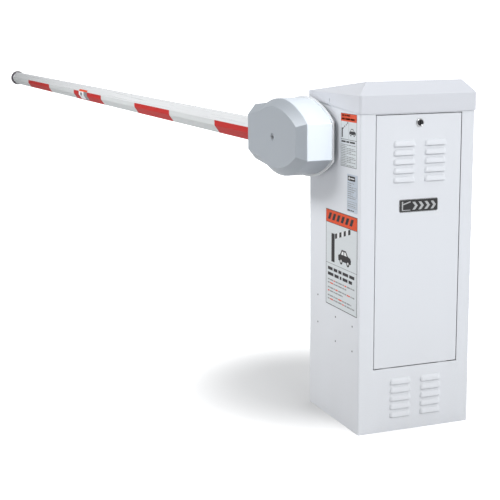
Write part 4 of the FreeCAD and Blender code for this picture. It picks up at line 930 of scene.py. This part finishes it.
RED = ((-4.500, -3.810), (-3.125, -2.505), (-1.877, -1.348), (-0.792, -0.402))
WHITE = ((-5.070, -4.500), (-3.810, -3.125), (-2.505, -1.877), (-1.348, -0.792))
for name, bands, slot_name, node in (("tape_red_bands", RED, "tape_red", "red_tape"),
                                     ("tape_white_bands", WHITE, "tape_white", "white_tape")):
    bm = bmesh.new()
    for x0, x1 in bands:
        tape_skin(bm, x0, x1, 0.4, 0.97)
    bevel(bm, crisp_edges(bm, 20), 3.2 * MM, 4)
    new_piece(name, bm, "arm", [finishes[slot_name]], [node], wall=0.36 * MM)

# %% [markdown]
# ## End cap
#
# The tip is closed by a moulded round cap, wider than the arm, with a small paler collar behind its
# rim. Both are turned shapes, so one outline of distances along and across the arm is spun about its
# centre line.

# %% End cap
RIM_DEPTH = 12.3 * MM
middle = Vector((cap_low.x, ARM_Y, PIVOT.z))
bm = bmesh.new()
outline = ((0, 0.9), (24, 0.6), (40, 0.0), (44.2, 0.3), (45.6, 1.4), (46, 3.2), (46, 10.2), (45.4, 11.6),
           (44, 12.2), (33.5, 12.2), (33.5, 13.4), (33, 14), (0, 14))
turn_outline(bm, [middle + mm(along, 0, across) for across, along in outline], middle, (1, 0, 0), 48)
weld(bm)
for f in bm.faces:
    f.material_index = 1 if f.calc_center_median().x > cap_low.x + RIM_DEPTH else 0
new_piece("cap_rim", bm, "arm", [finishes["cap_grey"], finishes["arm_white"]], ["arm_end_cap"])

# %% [markdown]
# ## Prints and plates
#
# The signs are printed film on thin plates. Image textures could carry the print, but shapes stay
# sharp from any distance. Each print is a flat outline raised by less than a tenth of a millimetre,
# in its own ink. The signs keep only a plain picture of a barrier and a car, a coloured band, and
# grey rules where lines of text would be: there is no lettering.

# %% Inks and flat shapes
inks = {
    "orange": film("orange_ink", (0.74, 0.075, 0.02), (0.78, 0.12, 0.045), 700.0, 0.42, 0.03,
                   Specular_IOR_Level=0.2),
    "black": film("black_ink", (0.022, 0.020, 0.022), (0.038, 0.035, 0.038), 700.0, 0.42, 0.03,
                  Specular_IOR_Level=0.25),
    "grey": film("grey_ink", (0.23, 0.235, 0.24), (0.30, 0.305, 0.31), 700.0, 0.36, 0.03),
    "silver": machined("silver_relief", (0.74, 0.75, 0.76), (0.58, 0.59, 0.60), (60, 60, 60), 0.25, 0.9,
                       0.02, 0.0),
    "white": film("white_ink", (0.84, 0.85, 0.86), (0.78, 0.79, 0.80), 700.0, 0.32, 0.03),
}
INK = {name: place for place, name in enumerate(["plate", *inks])}


def printed(slot):
    """A plate's own finish, with every ink after it."""
    return [finishes[slot], *inks.values()]


class Print:
    """Flat closed shapes in millimetres on a plane, each raised a little and given an ink."""

    def __init__(self, facing, level):
        self.bm, self.facing, self.level = bmesh.new(), facing, level

    def at(self, across, up, level):
        """The place of a point on the print."""
        if self.facing == "-Y":
            return mm(across, -level, up)
        return mm(level, across, up)

    def shape(self, points, ink, low=0.0, high=0.06):
        """A filled outline, raised from one level to another."""
        verts = [self.bm.verts.new(self.at(a, u, self.level + low)) for a, u in points]
        face = self.bm.faces.new(verts)
        lifted = pull(self.bm, bmesh.ops.extrude_face_region(self.bm, geom=[face], use_keep_orig=True),
                      self.at(0, 0, high - low))
        for f in {f for v in lifted + verts for f in v.link_faces}:
            f.material_index = INK[ink]

    def box(self, a0, a1, u0, u1, ink, low=0.0, high=0.06, r=0.0, steps=5):
        """A rectangle, with round corners if r is given."""
        if not r:
            self.shape(((a0, u0), (a1, u0), (a1, u1), (a0, u1)), ink, low, high)
            return
        corners = ((a1 - r, u0 + r, -90), (a1 - r, u1 - r, 0), (a0 + r, u1 - r, 90), (a0 + r, u0 + r, 180))
        points = [(ca + r * math.cos(math.radians(start + 90 * k / steps)),
                   cu + r * math.sin(math.radians(start + 90 * k / steps)))
                  for ca, cu, start in corners for k in range(steps + 1)]
        self.shape(points, ink, low, high)

    def disc(self, a, u, radius, ink, low=0.0, high=0.06):
        turns = [math.tau * k / 20 for k in range(20)]
        self.shape([(a + radius * math.cos(t), u + radius * math.sin(t)) for t in turns], ink, low, high)

    def slant(self, a, u0, u1, width, lean, ink, low=0.0, high=0.06):
        """A slanted bar."""
        self.shape(((a, u0), (a + width, u0), (a + width + lean, u1), (a + lean, u1)), ink, low, high)

    def frame(self, a0, a1, u0, u1, line, ink):
        """Four bars round a rectangle, inside it."""
        self.box(a0, a1, u0, u0 + line, ink)
        self.box(a0, a1, u1 - line, u1, ink)
        self.box(a0, a0 + line, u0 + line, u1 - line, ink)
        self.box(a1 - line, a1, u0 + line, u1 - line, ink)

    def rules(self, a0, a1, u, tall, dashes, ink="grey", accent=()):
        """A line of short dashes, where a line of text would be."""
        start, count = a0, 0
        while start < a1 - 3:
            end = min(a1, start + dashes[count % len(dashes)])
            self.box(start, end, u, u + tall, "orange" if count in accent else ink)
            start, count = end + tall * 0.7 + 0.8, count + 1

    def barrier(self, a, u, size, lift=0.28):
        """A plain picture of a post and a striped arm, size wide, that climbs by lift."""
        self.box(a, a + 0.17 * size, u, u + 0.66 * size, "black")
        base = (a + 0.19 * size, u + 0.55 * size)
        run, thick = 0.80 * size, 0.115 * size
        for k in range(7):
            (left, low), (right, high) = [(base[0] + run * n / 7, base[1] + run * n / 7 * lift)
                                          for n in (k, k + 1)]
            self.shape(((left, low), (right, high), (right, high + thick), (left, low + thick)),
                       "black" if k % 2 == 0 else "white")

    def car(self, a, u, size):
        """A plain side view of a car, size long."""
        body = ((0.02, 0.12), (0.98, 0.12), (1.0, 0.26), (0.93, 0.33), (0.76, 0.36), (0.60, 0.52),
                (0.28, 0.52), (0.14, 0.34), (0.0, 0.30))
        rear_window = ((0.24, 0.35), (0.42, 0.35), (0.42, 0.47), (0.31, 0.47))
        front_window = ((0.47, 0.35), (0.67, 0.35), (0.58, 0.47), (0.47, 0.47))
        for outline, ink, low, high in ((body, "black", 0.0, 0.06), (rear_window, "white", 0.06, 0.10),
                                        (front_window, "white", 0.06, 0.10)):
            self.shape([(a + x * size, u + z * size) for x, z in outline], ink, low, high)
        for x in (0.23, 0.76):
            self.disc(a + x * size, u + 0.12 * size, 0.115 * size, "black", 0.0, 0.08)
            self.disc(a + x * size, u + 0.12 * size, 0.05 * size, "white", 0.08, 0.11)

    def done(self, name, body, slot, stands_for):
        """Ends the print as a piece."""
        bmesh.ops.recalc_face_normals(self.bm, faces=self.bm.faces)
        new_piece(name, self.bm, body, printed(slot), stands_for, clean=False)


print(len(inks), "inks")

# %% [markdown]
# ## Signs on the cabinet
#
# The large sign faces drivers, with a band of slanted bars over a picture of the barrier
# and a car. The small one repeats it, and a foil plate carries the rating. All measures are millimetres
# on the cabinet's side: across from the shaft's side to the door, and up from the floor.

# %% Large sign
SIDE, SIGN_THICK = 185.0, 0.6
sign = Print("-Y", SIDE + SIGN_THICK)
sign.box(-52, 165, 355, 650.4, "plate", -SIGN_THICK, 0.0, 5)
sign.frame(-51.5, 164.5, 355.5, 649.9, 2.0, "black")
sign.box(-49.5, 162.5, 611, 647.9, "orange")
sign.box(-49.5, 162.5, 609.4, 611, "black")
for k in range(6):
    sign.slant(-38 + 30 * k, 619.5, 640.5, 17.0, 12.0, "black", 0.06, 0.1)
sign.box(-49.5, 162.5, 483.8, 485.4, "grey")
sign.barrier(-12, 492, 132)
sign.car(36, 494, 88)
sign.rules(-37, 147, 464, 9.5, (34, 26, 22, 38), "black")
sign.rules(-37, 132, 447, 9.5, (40, 30, 12, 34), "black")
for up, end, accent in ((432, 148, (2, 6)), (422, 96, (1,)), (407, 148, (3, 7)), (397, 70, (0,)),
                        (382, 128, (4,)), (372, 148, (1, 5))):
    sign.rules(-37, end, up, 4.0, (13, 21, 9, 17, 25, 11), "grey", accent)
sign.done("large_sign", "cabinet", "sign_face", ["gate_sign"])

# %% Small sign
notice = Print("-Y", SIDE + SIGN_THICK)
notice.box(50, 156, 790, 944.5, "plate", -SIGN_THICK, 0.0, 2)
notice.frame(50.3, 155.7, 790.3, 944.2, 1.2, "black")
notice.box(51.5, 154.5, 921, 943, "orange")
notice.rules(56, 112, 936, 4.0, (17, 9, 22), "black")
notice.rules(56, 146, 925.5, 5.0, (21, 30, 26), "black")
notice.box(102.4, 103.4, 870, 921, "grey")
notice.box(51.5, 154.5, 868.4, 869.6, "black")
notice.barrier(56, 874, 42, 0.55)
notice.car(107, 880, 42)
notice.rules(55, 150, 860, 5.0, (28, 19, 34, 12), "black")
for k in range(13):
    notice.rules(55, (148, 92, 141, 150, 120)[k % 5], 852.5 - 4.9 * k, 2.2, (9, 14, 6, 11, 17), "grey")
notice.done("small_sign", "cabinet", "sign_face", ["notice_sign"])

# %% Rating plate
plate = Print("-Y", SIDE + SIGN_THICK)
plate.box(95, 163, 660.8, 771, "plate", -SIGN_THICK, 0.0, 2)
plate.box(99, 147, 752, 766, "black")
plate.disc(108, 759, 4.2, "white", 0.06, 0.1)
plate.box(116, 142, 757.4, 760.6, "white", 0.06, 0.1)
for k in range(8):
    plate.rules(99, (140, 126, 136, 150)[k % 4], 744 - 6.2 * k, 2.2, (8, 13, 6), "grey")
plate.frame(128, 158, 706, 734, 0.9, "grey")
plate.frame(99, 158, 674, 692, 0.9, "grey")
plate.rules(102, 150, 684, 2.0, (7, 12, 9), "grey")
plate.rules(102, 150, 678, 2.0, (11, 6, 14), "grey")
plate.rules(99, 140, 664, 3.5, (16, 9), "black")
plate.done("rating_foil_plate", "cabinet", "rating_foil", ["rating_plate"])

# %% [markdown]
# ## Door badge
#
# The badge is a moulded black plate with a silver line round it and a raised emblem: a barrier's
# post and arm, and four chevrons that point the way through. Each raised part is a shape of its own, so
# its edge catches the light.

# %% Door badge
BADGE_THICK = 1.2
EMBLEM = ("silver", 0.2, 0.4)
badge = Print("+X", FRONT / MM + BADGE_THICK)
badge.box(-59, 67, 659.5, 697, "plate", -BADGE_THICK, 0.0, 5)
badge.box(-58.4, 66.4, 660.1, 696.4, "silver", 0.0, 0.12, 4.4)
badge.box(-57.6, 65.6, 660.9, 695.6, "plate", 0.12, 0.2, 3.8)
badge.box(-51, -47, 667, 686, *EMBLEM)
badge.shape(((-46.5, 681), (-23, 688), (-23, 691.5), (-46.5, 684.5)), *EMBLEM)
badge.box(-51, -23, 664.5, 666.5, *EMBLEM)
badge.disc(-49, 688.5, 2.6, *EMBLEM)
for a in (-17, 3, 23, 43):
    badge.shape(((a, 666), (a + 9, 666), (a + 18, 677.5), (a + 9, 689), (a, 689), (a + 9, 677.5)), *EMBLEM)
badge.done("door_badge", "door", "badge_face", ["badge_plate"])

# %% [markdown]
# ## Arm label
#
# A sticker folds over the arm's edge, halfway along. A flat print would cut through the fold, so it is a
# skin like the tape, sliced where its colours change, and each face then gets an ink.

# %% Arm label
LABEL = (-3.0, -2.812)
BAND_Z, MARK_Z = 0.8672, (0.845, 0.861)
GREY_X, MARK_X = -2.885, (-2.96, -2.93)
bm = bmesh.new()
tape_skin(bm, *LABEL, 0.9, 0.80, 0.30)
slice_mesh(bm, 0, (-2.995, GREY_X, -2.817, *MARK_X))
slice_mesh(bm, 2, (BAND_Z, MARK_Z[1], 0.853, MARK_Z[0]))
for f in bm.faces:
    c = f.calc_center_median()
    if c.z > BAND_Z:
        ink = "orange"
    elif c.x > GREY_X:
        ink = "grey"
    else:
        marked = MARK_X[0] < c.x < MARK_X[1] and MARK_Z[0] < c.z < MARK_Z[1]
        ink = "black" if marked else "white"
    f.material_index = INK[ink]
new_piece("arm_sticker", bm, "arm", printed("sign_face"), ["arm_label"], wall=0.3 * MM)

# %% [markdown]
# ## Small turned parts
#
# Rivet heads and the lock are turned or pressed round. Cylinders would have no dome and no rolled
# edge, so each is an outline of a few points spun about its axis. A rivet's outline goes on through the
# sheet to the closed head inside. The lock's inner ring and its plug are coloured darker than its chrome
# rim: painted shade in the recess and a painted dark reflection on the plug.

# %% Rivets
RIVETS = ((-112.7, 280), (-112.7, 367), (17.5, 249), (17.5, 325), (134, 247), (134, 322.5))
bm = bmesh.new()
dome = ((0, 1.0), (1.2, 0.92), (2.2, 0.65), (2.9, 0.15), (3.0, 0.0), (2.0, 0.0), (2.0, -6.5), (2.6, -7.0),
        (2.4, -8.2), (0, -8.6))
for x, z in RIVETS:
    for side in (-1, 1):
        profile = [mm(x + r, side * (SIDE + out), z) for r, out in dome]
        turn_outline(bm, profile, mm(x, side * SIDE, z), (0, side, 0), 20)
weld(bm)
new_piece("domed_rivets", bm, "cabinet", [finishes["rivet_steel"]], ["shelf_rivets"])

# %% Lock barrel
BARREL_LONG, BORE = 27, 7.55
bm = bmesh.new()
barrel = ((BORE, -BARREL_LONG), (9.5, -BARREL_LONG), (9.5, 0), (12.6, 0), (12.8, 0.6), (12.5, 2.2),
          (11.6, 3.2),
          (10.4, 3.5), (9.3, 3.4), (8.6, 2.7), (7.9, 2.5), (BORE, 2.7), (BORE, -BARREL_LONG))
turn_outline(bm, [LOCK + mm(out, 0, r) for r, out in barrel], LOCK, (1, 0, 0), 40)
weld(bm)
# Painted shade: the faces of the recess round the plug get the dark core finish.
for f in bm.faces:
    c = f.calc_center_median() - LOCK
    f.material_index = 1 if c.x > 0 and math.hypot(c.y, c.z) < 9.4 * MM else 0
new_piece("turned_lock_barrel", bm, "door", [finishes["lock_chrome"], finishes["lock_core"]],
          ["lock_barrel"])
# Painted dark reflection: the plug gets the dark core finish.
nodes["lock_plug"].data.materials[0] = finishes["lock_core"]

# %% [markdown]
# ## A lamp for the cover
#
# The hub cover stands in the cabinet's lee, so its top and its right end would stay as grey as
# its face. A photographer reaches in with a small lamp and flags. Here light linking is the flag: the
# lamp reaches only the cover.

# %% Cover lamp
lit = bpy.data.collections.new("lit by the cover softbox")
lit.objects.link(hub_cover_piece)
cover_lamp.light_linking.receiver_collection = lit
cover_lamp.light_linking.blocker_collection = lit

# %% [markdown]
# ## Floor
#
# The cabinet stands on a pale paper sweep, with a soft shadow beside it. The paper fades into the
# backdrop, so there is no horizon. A second backdrop mesh could curve up behind, but it would block the
# light from other sides. Here the paper glows more with distance from the shadow, and only for
# what the camera sees, so it throws no extra light on the cabinet.

# %% Floor
SHADOW_PLACE, SHADOW_REACH = (-0.33, -0.10, 0.0), (0.2, 0.85)
bm = bmesh.new()
bmesh.ops.create_grid(bm, x_segments=1, y_segments=1, size=30)
floor_mesh = bpy.data.meshes.new("floor")
bm.to_mesh(floor_mesh)
bm.free()
floor = bpy.data.objects.new("floor", floor_mesh)
bpy.context.scene.collection.objects.link(floor)
paper, tree, shader = finish("studio_floor", roughness=0.9, Base_Color=(0.64, 0.64, 0.64, 1),
                             Emission_Strength=1.0)
distance = add(tree, "VectorMath", {0: surface_spot(tree), 1: SHADOW_PLACE},
               operation="DISTANCE").outputs["Value"]
glow = add(tree, "MapRange", {"Value": distance, "From Min": SHADOW_REACH[0], "From Max": SHADOW_REACH[1],
                              "To Min": 0.0, "To Max": 1.1}, interpolation_type="SMOOTHSTEP").outputs[0]
seen = add(tree, "LightPath").outputs["Is Camera Ray"]
tree.links.new(maths(tree, "MULTIPLY", seen, glow), shader.inputs["Emission Color"])
floor_mesh.materials.append(paper)
floor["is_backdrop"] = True
print("floor ready, with", len(finishes) + len(inks) + 1, "materials in all")

# %% [markdown]
# ## Print the sizes
#
# The CAD model's box and the visual model's box are both printed. The visual model must stay inside the
# CAD model's box.

# %% Finish
low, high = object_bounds()
for name, corners in (("CAD", (*cad_low, *cad_high)), ("visual", (*low, *high))):
    print(name, "box", [round(v, 4) for v in corners])
